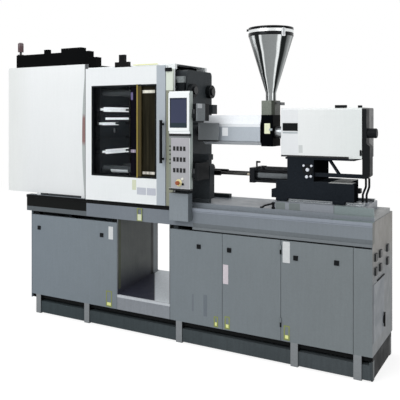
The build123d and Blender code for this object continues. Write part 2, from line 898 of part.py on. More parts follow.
# Signal beacon on the left end of the duct
beacon_x = x_duct0 + beacon_from_duct
beacon_y = (duct_y0 + duct_y1) / 2
lamp_bottom = duct_top + beacon_stem_height
beacon_top = duct_top + beacon_height
with BuildPart() as beacon:
    with BuildSketch(Plane.XZ.offset(-beacon_y)):
        with BuildLine():
            Polyline(
                (beacon_x, duct_top),
                (beacon_x + beacon_base_radius, duct_top),
                (beacon_x + beacon_base_radius, duct_top + beacon_base_height),
                (beacon_x + beacon_stem_radius, duct_top + beacon_base_height),
                (beacon_x + beacon_stem_radius, lamp_bottom),
                (beacon_x + beacon_radius, lamp_bottom),
                (beacon_x + beacon_radius, beacon_top - beacon_base_height),
                (beacon_x + beacon_radius - beacon_base_height, beacon_top),
                (beacon_x, beacon_top),
                close=True,
            )
        make_face()
    revolve(axis=Axis((beacon_x, beacon_y, 0), (0, 0, 1)))
save(beacon.part, "beacon")

# Control head that swings on two hinges beside the fixed platen
x_head0 = x_right - head_left
x_head1 = x_right - head_right
y_head0 = y_front - head_front
y_head1 = y_head0 + head_depth
y_platen = y_axis - platen_width / 2
x_hinge = x_head1 + hinge_radius + 2
y_hinge = y_head1 - hinge_radius
hinge_levels = (head_bottom + low_hinge_rise, head_bottom + high_hinge_rise)
knuckle = 30
bracket_seat = 60
stop_x = x_head0 + stop_left
stop_z = keypad_low + stop_rise
stop_hole = stop_stem_radius + running_fit
stop_depth = 40
stop_travel = 10
x_screen0 = x_head0 + screen_left
x_screen1 = x_head1 - screen_right
with BuildPart() as hmi_head:
    block(x_head0, x_head1, y_head0, y_head1, head_bottom, head_top)
    fillet(hmi_head.edges().filter_by(Axis.Z), 8)
    block(
        x_head0 + bezel_side, x_head1 - bezel_side, y_head0 - bezel_proud, y_head0,
        screen_low - bezel_below, screen_high + bezel_above,
    )
    block(x_screen0, x_screen1, y_head0 - bezel_proud, y_head0, screen_low, screen_high, Mode.SUBTRACT)
    rod_y(y_head0, y_head0 + stop_depth, stop_x, stop_z, stop_hole, Mode.SUBTRACT)
    for z in hinge_levels:
        z0 = z + knuckle + running_gap
        block(x_head1 - 10, x_hinge, y_hinge - 8, y_hinge + 8, z0, z0 + knuckle)
        rod_z(z0, z0 + knuckle, x_hinge, y_hinge, hinge_radius)
        rod_z(z0, z0 + knuckle, x_hinge, y_hinge, hinge_pin_radius + running_fit, Mode.SUBTRACT)
save(hmi_head.part, "hmi_head")

arm_below = 20
arm_above = 100
x_arm = x_hinge + hinge_radius + 2
arm_thickness = 16
leaf_half = 8
with BuildPart() as hmi_bracket:
    for z in hinge_levels:
        low = z - arm_below
        high = z + arm_above
        block(x_arm, x_arm + arm_thickness, y_hinge - leaf_half, y_platen, low, high)
        block(x_fixed_back - bracket_seat, x_arm, y_platen - leaf_half, y_platen, low, high)
        block(x_hinge, x_arm, y_hinge - leaf_half, y_hinge + leaf_half, z, z + knuckle)
        rod_z(z, z + knuckle, x_hinge, y_hinge, hinge_radius)
        rod_z(z + knuckle, z + 2 * knuckle, x_hinge, y_hinge, hinge_pin_radius)
save(hmi_bracket.part, "hmi_bracket")

with BuildPart() as hmi_screen:
    block(
        x_screen0 + screen_fit, x_screen1 - screen_fit, y_head0 - sheet, y_head0,
        screen_low + screen_fit, screen_high - screen_fit,
    )
save(hmi_screen.part, "hmi_screen")

keypad_inset = 5
y_keypad = y_head0 - keypad_proud
with BuildPart() as keypad:
    block(x_head0 + keypad_inset, x_head1 - keypad_inset, y_keypad, y_head0, keypad_low, keypad_high)
    for column in range(4):
        for row in range(3):
            kx = x_head0 + first_key_x + column * key_pitch_x
            kz = keypad_high - first_key_drop - row * key_pitch_z
            block(
                kx - key_width / 2, kx + key_width / 2, y_keypad - key_proud, y_keypad,
                kz - key_height / 2, kz + key_height / 2,
            )
    rod_y(y_keypad, y_head0, stop_x, stop_z, stop_hole, Mode.SUBTRACT)
save(keypad.part, "keypad")

stop_front = y_front - panel_reach
with BuildPart() as emergency_stop:
    rod_y(stop_front, stop_front + stop_head, stop_x, stop_z, stop_radius)
    fillet(emergency_stop.edges().group_by(Axis.Y)[0], stop_head / 3)
    rod_y(stop_front + stop_head, y_head0 + stop_depth - stop_travel, stop_x, stop_z, stop_stem_radius)
save(emergency_stop.part, "emergency_stop")

# Junction box on the beam below the control head
x_junction = x_right - junction_left
with BuildPart() as junction_box:
    block(
        x_junction, x_junction + junction_width, y_front - junction_reach, y_front,
        beam_bottom + junction_rise, base_height + junction_above,
    )
    fillet(junction_box.edges().filter_by(Axis.Z), 4)
save(junction_box.part, "junction_box")

# Hydraulic manifold on the side of the fixed platen, and a valve block round the lower tie bar nut
manifold_high = platen_top - 48
manifold_height = 112
manifold_proud = 26
port_radius = 12
port_length = 14
valve_length = 182
valve_depth = 66
valve_y = y_platen + 16
nut_clear = 8
z_lower_nut = z_axis - tie_spacing_z / 2
x_past_nut = x_fixed_back + tie_nut_length + tie_end + nut_clear
y_terminal = y_axis + terminal_box_side
z_terminal = z_axis + terminal_box_rise
with BuildPart() as platen_manifold:
    block(
        x_fixed_face + 15, x_fixed_back - 8, y_platen - manifold_proud, y_platen,
        manifold_high - manifold_height, manifold_high,
    )
    for drop in (32, 82):
        rod_y(
            y_platen - manifold_proud - port_length, y_platen - manifold_proud,
            x_fixed_face + 40, manifold_high - drop, port_radius,
        )
    with BuildSketch(Plane.XZ.offset(-valve_y - valve_depth)):
        with BuildLine():
            Polyline(
                (x_fixed_back, z_lower_nut + tie_nut_radius + nut_clear),
                (x_fixed_back, body_top),
                (x_fixed_back + valve_length - 10, body_top),
                (x_fixed_back + valve_length - 10, body_top - 40),
                (x_fixed_back + valve_length - 26, body_top - 40),
                (x_fixed_back + valve_length - 26, body_top - 78),
                (x_fixed_back + valve_length, body_top - 78),
                (x_fixed_back + valve_length, deck_top + shoe_height + running_gap),
                (x_fixed_back, deck_top + shoe_height + running_gap),
                (x_fixed_back, z_lower_nut - tie_nut_radius - nut_clear),
                (x_past_nut, z_lower_nut - tie_nut_radius - nut_clear),
                (x_past_nut, z_lower_nut + tie_nut_radius + nut_clear),
                close=True,
            )
        make_face()
    extrude(amount=valve_depth)
    block(
        x_fixed_back, x_fixed_back + terminal_box_length, y_terminal, y_terminal + terminal_box_depth,
        z_terminal, z_terminal + terminal_box_height,
    )
save(platen_manifold.part, "platen_manifold")

# Carriage: stepped casting with a thin top flange, bearing blocks, barrel plate, rear plate and side arm
x_step0 = x_right - carriage_left
x_low0 = x_right - low_body_left
x_body0 = x_right - body_left
x_body1 = x_right - body_right
x_low1 = x_right - low_body_right
x_front_plate = x_right - front_plate_left
x_rear_plate = x_right - rear_plate_left
body_y0 = y_axis - body_width / 2
body_y1 = y_axis + body_width / 2
carriage_low = guide_top + carriage_gap
low_body_top = carriage_low + low_body_height
flange_bottom = body_top - body_flange
x_flange1 = x_rear_plate + rear_plate_thickness
plate_y = 120
cover_drop = 30
bearing_length = 80
bearing_inset = 60
bearing_half = 32
bearing_low = slide_top + 3
guide_rod_radius = 18
guide_rod_y = 85
arm_low = z_axis - end_plate_drop
arm_height = 24
arm_y = 20
x_brace = x_body1 + 90
brace_run = 59
brace_width = 16
arm_depth = 30
x_cov0 = x_right - cover_left
x_cov1 = x_right - cover_right
barrel_seat = barrel_radius + running_fit
with BuildPart() as carriage:
    with BuildSketch(Plane.XZ.offset(-body_y1)):
        with BuildLine():
            Polyline(
                (x_step0, carriage_low),
                (x_step0, carriage_low + step_height),
                (x_low0, carriage_low + step_height),
                (x_low0, low_body_top),
                (x_body0, low_body_top),
                (x_body0, flange_bottom),
                (x_front_plate, flange_bottom),
                (x_front_plate, body_top),
                (x_flange1, body_top),
                (x_flange1, flange_bottom),
                (x_body1, flange_bottom),
                (x_body1, low_body_top),
                (x_low1, low_body_top),
                (x_low1, carriage_low),
                close=True,
            )
        make_face()
    extrude(amount=body_width)
    for x, thick in ((x_front_plate, front_plate), (x_rear_plate, rear_plate_thickness)):
        block(x, x + thick, y_axis - plate_y, y_axis + plate_y, body_top, injection_cover_top - cover_drop)
    block(
        x_low1 - low_body_cut, x_low1, body_y0 + low_body_tail, body_y1, carriage_low, low_body_top,
        Mode.SUBTRACT,
    )
    block(x_body1, x_cov1, body_y0 + arm_y, body_y0 + arm_y + arm_depth, arm_low, arm_low + arm_height)
    with BuildSketch(Plane.XZ.offset(-body_y0 - arm_y - arm_depth)):
        with BuildLine():
            Polyline(
                (x_brace, flange_bottom),
                (x_brace + brace_width, flange_bottom),
                (x_brace + brace_run + brace_width, arm_low + arm_height),
                (x_brace + brace_run, arm_low + arm_height),
                close=True,
            )
        make_face()
    extrude(amount=arm_depth)
    for yc in (y_axis - guide_spacing / 2, y_axis + guide_spacing / 2):
        half = guide_width / 2 + running_gap
        for x in (x_low0, x_low1 - bearing_length - bearing_inset):
            block(x, x + bearing_length, yc - bearing_half, yc + bearing_half, bearing_low, carriage_low)
            block(
                x, x + bearing_length, yc - half, yc + half, bearing_low, guide_top + running_gap,
                Mode.SUBTRACT,
            )
    pocket_half = (rod_spacing + touch_cap) / 2 + 3
    block(
        x_low0, x_body0, y_axis - pocket_half, y_axis + pocket_half,
        rod_height - touch_cap / 2 - running_gap, low_body_top, Mode.SUBTRACT,
    )
    rod_x(x_front_plate, x_front_plate + front_plate, y_axis, z_axis, barrel_seat, Mode.SUBTRACT)
    for yc in (y_axis - guide_rod_y, y_axis + guide_rod_y):
        rod_x(x_front_plate + front_plate, x_rear_plate, yc, z_axis, guide_rod_radius)
save(carriage.part, "carriage")

# Barrel with its nozzle, bored for the screw
x_barrel0 = x_right - barrel_front
x_barrel1 = x_front_plate + front_plate
x_tip = x_fixed_face + nozzle_tip_depth
with BuildPart() as barrel:
    with BuildSketch(Plane.XZ.offset(-y_axis)):
        with BuildLine():
            Polyline(
                (x_tip, z_axis),
                (x_tip, z_axis + 8),
                (x_tip + 18, z_axis + 20),
                (x_tip + 18, z_axis + nozzle_radius),
                (x_barrel0, z_axis + nozzle_radius),
                (x_barrel0, z_axis + barrel_radius),
                (x_barrel1, z_axis + barrel_radius),
                (x_barrel1, z_axis),
                close=True,
            )
        make_face()
    revolve(axis=Axis((x_tip, y_axis, z_axis), (1, 0, 0)))
    rod_x(x_barrel0 + 10, x_barrel1, y_axis, z_axis, barrel_bore, Mode.SUBTRACT)
    rod_x(x_tip, x_barrel0 + 10, y_axis, z_axis, 3, Mode.SUBTRACT)
    rod_z(
        z_axis, z_axis + barrel_radius, x_right - throat_left + throat_length / 2, y_axis, 16, Mode.SUBTRACT,
    )
save(barrel.part, "barrel")

x_throat0 = x_right - throat_left
x_throat1 = x_throat0 + throat_length
heater_pitch = (x_throat0 - x_barrel0) / heater_count
with BuildPart() as heater_bands:
    for index in range(heater_count):
        x = x_barrel0 + (index + 0.5) * heater_pitch - heater_length / 2
        rod_x(x, x + heater_length, y_axis, z_axis, barrel_radius + heater_thickness)
    rod_x(x_barrel0, x_throat0, y_axis, z_axis, barrel_radius + running_fit, Mode.SUBTRACT)
save(heater_bands.part, "heater_bands")

# Folded cover round the barrel, with deep upper chamfers
half_cover = barrel_cover_width / 2


def cover_points(inset):
    """Corners of the barrel cover's section, drawn inwards by the inset."""
    low = z_axis - barrel_cover_drop + inset
    high = z_axis + barrel_cover_rise - inset
    half = half_cover - inset
    slope = barrel_cover_chamfer - inset * 0.6
    lower = 24 - inset * 0.6
    return (
        (y_axis - half + lower, low),
        (y_axis - half, low + lower),
        (y_axis - half, high - slope),
        (y_axis - half + slope * 0.5, high),
        (y_axis + half - slope * 0.5, high),
        (y_axis + half, high - slope),
        (y_axis + half, low + lower),
        (y_axis + half - lower, low),
    )


with BuildPart() as barrel_cover:
    with BuildSketch(Plane.YZ.offset(x_barrel0)):
        with BuildLine():
            Polyline(*cover_points(0), close=True)
        make_face()
        with BuildLine():
            Polyline(*cover_points(sheet), close=True)
        make_face(mode=Mode.SUBTRACT)
    extrude(amount=x_throat0 - x_barrel0)
save(barrel_cover.part, "barrel_cover")

# Water-cooled feed throat
x_throat = (x_throat0 + x_throat1) / 2
with BuildPart() as throat_block:
    half = throat_width / 2
    block(x_throat0, x_throat1, y_axis - half, y_axis + half, z_axis - throat_drop, throat_top)
    fillet(throat_block.edges().filter_by(Axis.Z), 6)
    rod_x(x_throat0, x_throat1, y_axis, z_axis, barrel_seat, Mode.SUBTRACT)
    rod_z(z_axis, throat_top, x_throat, y_axis, 22, Mode.SUBTRACT)
save(throat_block.part, "throat_block")

# Hopper: base block with gate slot, flange, neck, cone and rim
base_half = 50
gate_low = throat_top + 82
gate_high = gate_low + gate_thickness + 2 * running_gap
flange_top = neck_bottom
gate_half = 34
lid_low = hopper_top + running_gap
lid_high = lid_low + 3.5
x_lid = x_throat - hopper_radius - 8
with BuildPart() as hopper:
    with BuildSketch(Plane.XZ.offset(-y_axis)):
        with BuildLine():
            Polyline(
                (x_throat + neck_radius - hopper_wall, flange_top),
                (x_throat + neck_radius, flange_top),
                (x_throat + neck_radius, cone_bottom),
                (x_throat + hopper_radius - hopper_wall, hopper_top - hopper_rim),
                (x_throat + hopper_radius, hopper_top - hopper_rim),
                (x_throat + hopper_radius, hopper_top),
                (x_throat + hopper_radius - 2 * hopper_wall, hopper_top),
                (x_throat + hopper_radius - 2 * hopper_wall, hopper_top - hopper_rim),
                (x_throat + neck_radius - hopper_wall, cone_bottom),
                close=True,
            )
        make_face()
    revolve(axis=Axis((x_throat, y_axis, 0), (0, 0, 1)))
    block(
        x_throat - base_half, x_throat + base_half, y_axis - base_half, y_axis + base_half,
        throat_top, flange_top,
    )
    rod_z(throat_top, flange_top, x_throat, y_axis, neck_radius - hopper_wall, Mode.SUBTRACT)
    block(
        x_throat - gate_half - 6, x_throat + base_half, y_axis - gate_half - running_gap,
        y_axis + gate_half + running_gap, gate_low, gate_high, Mode.SUBTRACT,
    )
    for y in (y_axis - 34, y_axis + 22):
        block(x_lid - 6, x_lid + 10, y, y + 12, hopper_top - 22, hopper_top)
        block(x_lid - 6, x_lid + 6, y, y + 12, hopper_top, lid_low + 5)
    rod_y(y_axis - 34, y_axis + 34, x_lid, lid_low, 3)
save(hopper.part, "hopper")

with BuildPart() as slide_gate:
    block(
        x_throat - gate_half - 5.7, x_throat + base_half + 40, y_axis - gate_half, y_axis + gate_half,
        gate_low + running_gap, gate_high - running_gap,
    )
    block(
        x_throat + base_half + 28, x_throat + base_half + 40, y_axis - gate_half, y_axis + gate_half,
        gate_low - 14, gate_low + running_gap,
    )
save(slide_gate.part, "slide_gate")

with BuildPart() as hopper_lid:
    rod_z(lid_low, lid_high, x_throat, y_axis, hopper_radius)
    block(x_lid, x_throat - hopper_radius + 12, y_axis - 20, y_axis + 20, lid_low, lid_high)
    rod_y(y_axis - 21.7, y_axis + 21.7, x_lid, lid_low, 6)
    rod_y(y_axis - 21.7, y_axis + 21.7, x_lid, lid_low, 3 + running_fit, Mode.SUBTRACT)
save(hopper_lid.part, "hopper_lid")

# White cover over the injection drive and the black plate behind it
cov_y0 = y_axis - cover_width / 2
cov_y1 = y_axis + cover_width / 2
cover_wall = 3
with BuildPart() as injection_cover:
    block(x_cov0, x_cov1, cov_y0, cov_y1, body_top + 2, injection_cover_top)
    fillet(injection_cover.edges().filter_by(Axis.X).group_by(Axis.Z)[-1], 14)
    block(
        x_cov0, x_cov1 - cover_wall, cov_y0 + cover_wall, cov_y1 - cover_wall,
        body_top + 2, injection_cover_top - cover_wall - 11, Mode.SUBTRACT,
    )
    block(
        x_cov0, x_cov0 + 8, cov_y0 + cover_wall, cov_y1 - cover_wall,
        body_top + 2, injection_cover_top - cover_wall - 11, Mode.SUBTRACT,
    )
    for y in (cov_y0, cov_y1 - cover_wall):
        block(x_rear_plate, x_rear_plate + rear_plate_thickness, y, y + cover_wall, body_top, body_top + 2)
save(injection_cover.part, "injection_cover")

x_plate_back = x_cov1 + end_plate_thickness
plate_low = arm_low
plate_y0 = cov_y0 + 4
plate_foot = 48
plate_foot_drop = 60
plate_slope = 18
plate_cap_drop = 9
cap_radius = 31
cap_length = 58
with BuildPart() as drive_end_plate:
    with BuildSketch(Plane.XZ.offset(-plate_y0 - end_plate_depth)):
        with BuildLine():
            Polyline(
                (x_cov1, plate_low),
                (x_cov1, injection_cover_top - plate_cap_drop),
                (x_plate_back, injection_cover_top - plate_cap_drop),
                (x_plate_back, z_axis - plate_foot_drop),
                (x_cov1 + plate_foot, z_axis - plate_foot_drop - plate_slope),
                (x_cov1 + plate_foot, plate_low + plate_slope),
                (x_plate_back, plate_low),
                close=True,
            )
        make_face()
    extrude(amount=end_plate_depth)
    rod_x(x_plate_back, x_plate_back + cap_length, plate_y0 + end_plate_depth / 2, z_axis + 4, cap_radius)
    fillet(drive_end_plate.edges().filter_by(GeomType.CIRCLE).group_by(Axis.X)[-1], 6)
save(drive_end_plate.part, "drive_end_plate")

# Nozzle-touch cylinders with end caps and tie rods on the carriage, and their rods from the fixed platen
rod_ys = (y_axis - rod_spacing / 2, y_axis + rod_spacing / 2)
x_touch0 = x_right - touch_cylinder_left
x_touch1 = x_body0
x_cap = x_touch0 + touch_cap_thickness
tie_offset = touch_cap / 2 - touch_tie_radius - 4
with BuildPart() as nozzle_cylinders:
    for y in rod_ys:
        for x0, x1 in ((x_touch0, x_cap), (x_touch1 - touch_cap_thickness / 2, x_touch1)):
            with BuildSketch(Plane.YZ.offset(x0)):
                with Locations((y, rod_height)):
                    RectangleRounded(touch_cap, touch_cap, 6)
            extrude(amount=x1 - x0)
        rod_x(x_cap, x_touch1, y, rod_height, touch_tube_radius)
        with Locations(Plane(origin=(x_cap, y, rod_height), z_dir=(1, 0, 0))):
            with GridLocations(2 * tie_offset, 2 * tie_offset, 2, 2):
                Cylinder(touch_tie_radius, x_touch1 - x_cap, align=(Align.CENTER, Align.CENTER, Align.MIN))
        rod_x(x_touch0, x_touch1 - 12, y, rod_height, rod_radius + running_fit, Mode.SUBTRACT)
save(nozzle_cylinders.part, "nozzle_cylinders")

with BuildPart() as nozzle_rods:
    for y in rod_ys:
        rod_x(x_fixed_back, x_fixed_back + knob_length, y, rod_height, knob_radius)
        rod_x(x_fixed_back + knob_length, x_touch1 - 30, y, rod_height, rod_radius)
save(nozzle_rods.part, "nozzle_rods")

# Purge guard beside the nozzle, which swings up on its pin
with BuildPart() as purge_guard:
    block(
        x_guard0 + running_gap, x_guard0 + guard_length, guard_y, guard_y + 2 * guard_half,
        guard_z0, z_guard_pin,
    )
    fillet(purge_guard.edges().filter_by(Axis.Y).group_by(Axis.Z)[0], 12)
    rod_x(x_guard0 + running_gap, x_guard0 + guard_length, y_guard_pin, z_guard_pin, guard_half)
    rod_x(x_guard0, x_guard0 + guard_length, y_guard_pin, z_guard_pin, guard_pin + running_fit, Mode.SUBTRACT)
save(purge_guard.part, "purge_guard")

# Screw drive crosshead on the guide rods, and the plasticising screw
x_drive0 = x_barrel1 + 70
with BuildPart() as screw_drive:
    block(x_drive0, x_drive0 + 45, y_axis - 110, y_axis + 110, z_axis - 75, z_axis + 75)
    for side in (-1, 1):
        rod_x(
            x_drive0, x_drive0 + 45, y_axis + side * guide_rod_y, z_axis,
            guide_rod_radius + running_fit, Mode.SUBTRACT,
        )
    rod_x(x_drive0 + 45, x_drive0 + 150, y_axis, z_axis, 60)
    rod_x(x_drive0, x_drive0 + 60, y_axis, z_axis, barrel_bore + running_fit, Mode.SUBTRACT)
save(screw_drive.part, "screw_drive")

screw_core = 14
with BuildPart() as screw:
    with BuildSketch(Plane.XZ.offset(-y_axis)):
        with BuildLine():
            Polyline(
                (x_barrel0 + 14, z_axis),
                (x_barrel0 + 40, z_axis + screw_core),
                (x_throat1 - 20, z_axis + screw_core),
                (x_throat1 - 20, z_axis + barrel_bore - running_fit),
                (x_drive0 + 58, z_axis + barrel_bore - running_fit),
                (x_drive0 + 58, z_axis),
                close=True,
            )
        make_face()
    revolve(axis=Axis((x_tip, y_axis, z_axis), (1, 0, 0)))
    land = 10
    pitch = 40
    count = int((x_throat1 - x_barrel0 - 100) / pitch)
    for index in range(count):
        x = x_barrel0 + 50 + index * pitch
        rod_x(x, x + land, y_axis, z_axis, barrel_bore - running_fit)
save(screw.part, "screw")

# Two cables from the drive down to the glands on the bed
cable_radius = 7
cable_top = plate_low
cable_bottom = slide_top + gland_height
with BuildPart() as drive_cables:
    for x, x_top in zip(cable_places, (x_cov1 + 9, x_cov1 + 30)):
        with BuildLine() as path:
            FilletPolyline(
                (x, y_cable, cable_bottom),
                (x, y_cable, cable_bottom + 50),
                (x_top, y_cable - 8, cable_bottom + 100),
                (x_top, y_cable - 8, cable_top),
                radius=(36, 36),
            )
        with BuildSketch(Plane.XY.offset(cable_bottom)):
            with Locations((x, y_cable)):
                Circle(cable_radius)
        sweep(path=path.line)
save(drive_cables.part, "drive_cables")

# Oil tank in the left half of the base, with the pump unit on its lid
x_tank0 = x_base + post_width + 10
x_tank1 = x_chute_left - post_width - 10
tank_y0 = y_post + post_depth + 10
tank_y1 = y_back - panel_depth - post_depth - 10
tank_top = tray_top + tank_height
with BuildPart() as oil_tank:
    block(x_tank0, x_tank1, tank_y0, tank_y1, tray_top, tank_top)
    block(
        x_tank0 + tank_wall, x_tank1 - tank_wall, tank_y0 + tank_wall, tank_y1 - tank_wall,
        tray_top + tank_wall, tank_top, Mode.SUBTRACT,
    )
save(oil_tank.part, "oil_tank")

x_motor = x_tank0 + motor_from_end
x_bell = x_motor + motor_length
x_pump = x_bell + bell_length
x_pump_end = x_pump + pump_length
lid_top = tank_top + tank_lid
motor_z = lid_top + motor_radius + motor_rise
with BuildPart() as pump_unit:
    block(x_tank0, x_tank1, tank_y0, tank_y1, tank_top, lid_top)
    rod_x(x_motor, x_bell, y_middle, motor_z, motor_radius)
    rod_x(x_bell, x_pump, y_middle, motor_z, bell_radius)
    rod_x(x_pump, x_pump_end, y_middle, motor_z, pump_radius)
    for x in (x_motor + saddle_width, x_bell - 2 * saddle_width, x_pump + saddle_width):
        block(x, x + saddle_width, y_middle - saddle_half, y_middle + saddle_half, lid_top, motor_z)
save(pump_unit.part, "pump_unit")
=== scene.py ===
import math
import bmesh
import bpy
from mathutils import Matrix, Vector


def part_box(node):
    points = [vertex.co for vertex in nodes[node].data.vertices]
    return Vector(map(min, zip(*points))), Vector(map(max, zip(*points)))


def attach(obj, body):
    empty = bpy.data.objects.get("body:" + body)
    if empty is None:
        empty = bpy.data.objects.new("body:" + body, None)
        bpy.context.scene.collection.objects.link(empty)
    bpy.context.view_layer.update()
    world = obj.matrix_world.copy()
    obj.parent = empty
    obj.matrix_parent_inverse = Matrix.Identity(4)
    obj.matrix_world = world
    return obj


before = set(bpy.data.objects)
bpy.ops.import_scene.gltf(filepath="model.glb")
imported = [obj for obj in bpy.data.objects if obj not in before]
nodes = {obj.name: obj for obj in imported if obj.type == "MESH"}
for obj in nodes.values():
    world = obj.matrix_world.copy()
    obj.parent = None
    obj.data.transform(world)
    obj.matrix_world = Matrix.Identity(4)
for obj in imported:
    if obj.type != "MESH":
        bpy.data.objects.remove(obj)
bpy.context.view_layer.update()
scene = bpy.context.scene

# X places below are for a base whose right end is at END_X; SHIFT carries them to the frame's base
END_X = 1.5215
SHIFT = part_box("long_beams")[1][0] - END_X
# How far a plate or fitting sinks into the face that carries it
SEAT = 0.0002
FRONT = (0, -1, 0)
UP = (0, 0, 1)
# A colour zone's corner that is open on all sides, and how far an open side and the floor reach
OPEN = (None, None, None)
FAR = 9.0

# Camera at the photograph's viewing angle
EYE = (2.4168 + SHIFT, -3.9107, 1.6)
CAMERA_TURN = math.radians(29.4)
LENS = 54.77
SENSOR = 36
HORIZON_SHIFT = -0.205
camera_data = bpy.data.cameras.new("camera")
camera_data.lens = LENS
camera_data.sensor_width = SENSOR
camera_data.shift_y = HORIZON_SHIFT
camera = bpy.data.objects.new("camera", camera_data)
camera.location = EYE
camera.rotation_euler = (math.pi / 2, 0, CAMERA_TURN)
scene.collection.objects.link(camera)
scene.camera = camera


def srgb(red, green, blue):
    """Linear colour of an 8-bit colour."""
    out = []
    for value in (red, green, blue):
        value /= 255
        out.append(value / 12.92 if value <= 0.04045 else ((value + 0.055) / 1.055) ** 2.4)
    return (*out, 1.0)


def placed(point):
    """Point with its X carried to the frame's base."""
    return Vector((point[0] + SHIFT, point[1], point[2]))


class Tree:
    """Emptied node tree of a world or material, with short ways to add and join nodes."""

    def __init__(self, owner):
        owner.use_nodes = True
        self.tree = owner.node_tree
        self.tree.nodes.clear()

    def add(self, kind, **settings):
        node = self.tree.nodes.new(kind)
        for key, value in settings.items():
            setattr(node, key, value)
        return node

    def source(self, kind, **values):
        """Shader node with values on its own sockets."""
        node = self.add(kind)
        for key, value in values.items():
            node.inputs[key].default_value = value
        return node

    def join(self, start, target):
        self.tree.links.new(start, target)

    def feed(self, socket, value):
        if hasattr(value, "is_output"):
            self.join(value, socket)
        else:
            socket.default_value = value

    def math(self, operation, *values):
        node = self.add("ShaderNodeMath", operation=operation)
        for socket, value in zip(node.inputs, values):
            self.feed(socket, value)
        return node.outputs[0]

    def shown_or_light(self, shown, light, output):
        """One shader for what the camera, glass and reflections see, another for the light on the object."""
        path = self.add("ShaderNodeLightPath").outputs
        seen = self.math("MAXIMUM", path["Is Camera Ray"], path["Is Transmission Ray"])
        seen = self.math("MAXIMUM", seen, path["Is Glossy Ray"])
        mixed = self.add("ShaderNodeMixShader")
        self.join(seen, mixed.inputs[0])
        self.join(light.outputs[0], mixed.inputs[1])
        self.join(shown.outputs[0], mixed.inputs[2])
        self.join(mixed.outputs[0], self.add(output).inputs["Surface"])


# World: white to the camera and in reflections, a dimmer white light otherwise
WHITE_LIGHT = (1, 1, 1, 1)
WORLD_LIGHT = 0.62
world = bpy.data.worlds.new("studio")
scene.world = world
studio = Tree(world)
studio.shown_or_light(
    studio.source("ShaderNodeBackground", Color=WHITE_LIGHT, Strength=1.0),
    studio.source("ShaderNodeBackground", Color=WHITE_LIGHT, Strength=WORLD_LIGHT),
    "ShaderNodeOutputWorld",
)


class Finish(Tree):
    """Node material whose patterns lie in the frame's own coordinates."""

    def __init__(self, name):
        self.material = bpy.data.materials.new(name)
        super().__init__(self.material)
        self.shader = self.add("ShaderNodeBsdfPrincipled")
        self.join(self.shader.outputs[0], self.add("ShaderNodeOutputMaterial").inputs[0])
        self.place = self.add("ShaderNodeTexCoord").outputs["Object"]
        split = self.add("ShaderNodeSeparateXYZ")
        self.join(self.place, split.inputs[0])
        self.axes = tuple(split.outputs)
        self.x, self.y, self.z = self.axes

    def spread(self, value, start, end, low, high):
        """Carries start to end over to low to high, and stays there beyond them."""
        node = self.add("ShaderNodeMapRange")
        for index, number in enumerate((value, start, end, low, high)):
            self.feed(node.inputs[index], number)
        return node.outputs[0]

    def noise(self, scale, stretch=(1, 1, 1), detail=3.0, seed=(0, 0, 0)):
        mapping = self.add("ShaderNodeMapping")
        mapping.inputs["Scale"].default_value = stretch
        mapping.inputs["Location"].default_value = seed
        self.join(self.place, mapping.inputs["Vector"])
        node = self.add("ShaderNodeTexNoise")
        node.inputs["Scale"].default_value = scale
        node.inputs["Detail"].default_value = detail
        self.join(mapping.outputs[0], node.inputs["Vector"])
        return node.outputs[0]

    def vary(self, noise, low, high):
        """Carries the usual range of a noise over to low to high."""
        return self.spread(noise, 0.3, 0.7, low, high)

    def mix(self, factor, first, second):
        node = self.add("ShaderNodeMix", data_type="RGBA", blend_type="MIX")
        self.feed(node.inputs[0], factor)
        self.feed(node.inputs[6], first)
        self.feed(node.inputs[7], second)
        return node.outputs[2]

    def scaled(self, colour, factor):
        node = self.add("ShaderNodeVectorMath", operation="SCALE")
        if hasattr(colour, "is_output"):
            self.join(colour, node.inputs[0])
        else:
            node.inputs[0].default_value = colour[:3]
        self.feed(node.inputs["Scale"], factor)
        return node.outputs[0]

    def zone(self, low, high):
        """1 inside a box, 0 outside; None leaves a side open."""
        mask = None
        for axis, shift in enumerate((SHIFT, 0, 0)):
            if low[axis] is None and high[axis] is None:
                continue
            start = -FAR if low[axis] is None else low[axis] + shift
            end = FAR if high[axis] is None else high[axis] + shift
            part = self.math("COMPARE", self.axes[axis], (start + end) / 2, (end - start) / 2)
            mask = part if mask is None else self.math("MULTIPLY", mask, part)
        return mask

    def facing(self, axis):
        """1 where the surface looks along an axis of the frame."""
        shape = self.add("ShaderNodeTexCoord")
        parts = self.add("ShaderNodeSeparateXYZ")
        self.join(shape.outputs["Normal"], parts.inputs[0])
        return self.spread(parts.outputs[axis], 0.6, 0.9, 0, 1)


# How fine the noises of a surface are
TINT_SCALE = 1.7
CLOUD_SCALE = 2.3
STREAK_SCALE = 9
ROUGH_SCALE = 14
CHIP_SCALE = 38
BRUSH_SCALE = 40
GRAIN_SCALE = 95
# Half the range of a surface's roughness, and how deep its bump is
ROUGH_RANGE = 0.07
BUMP_DEPTH = 0.0008


def worn_edges(f, base, rounded, worn, wear):
    """Lets a worn colour through, in chips, where the rounded normal bends away from the face."""
    shape = f.add("ShaderNodeNewGeometry")
    turn = f.add("ShaderNodeVectorMath", operation="DOT_PRODUCT")
    f.join(rounded, turn.inputs[0])
    f.join(shape.outputs["Normal"], turn.inputs[1])
    bend = f.spread(turn.outputs["Value"], 0.995, 0.9, 0, 1)
    chips = f.spread(f.noise(CHIP_SCALE, detail=4, seed=(3, 3, 3)), 0.45, 0.6, 0.25, 1)
    return f.mix(f.math("MULTIPLY", f.math("MULTIPLY", bend, chips), wear), base, srgb(*worn))


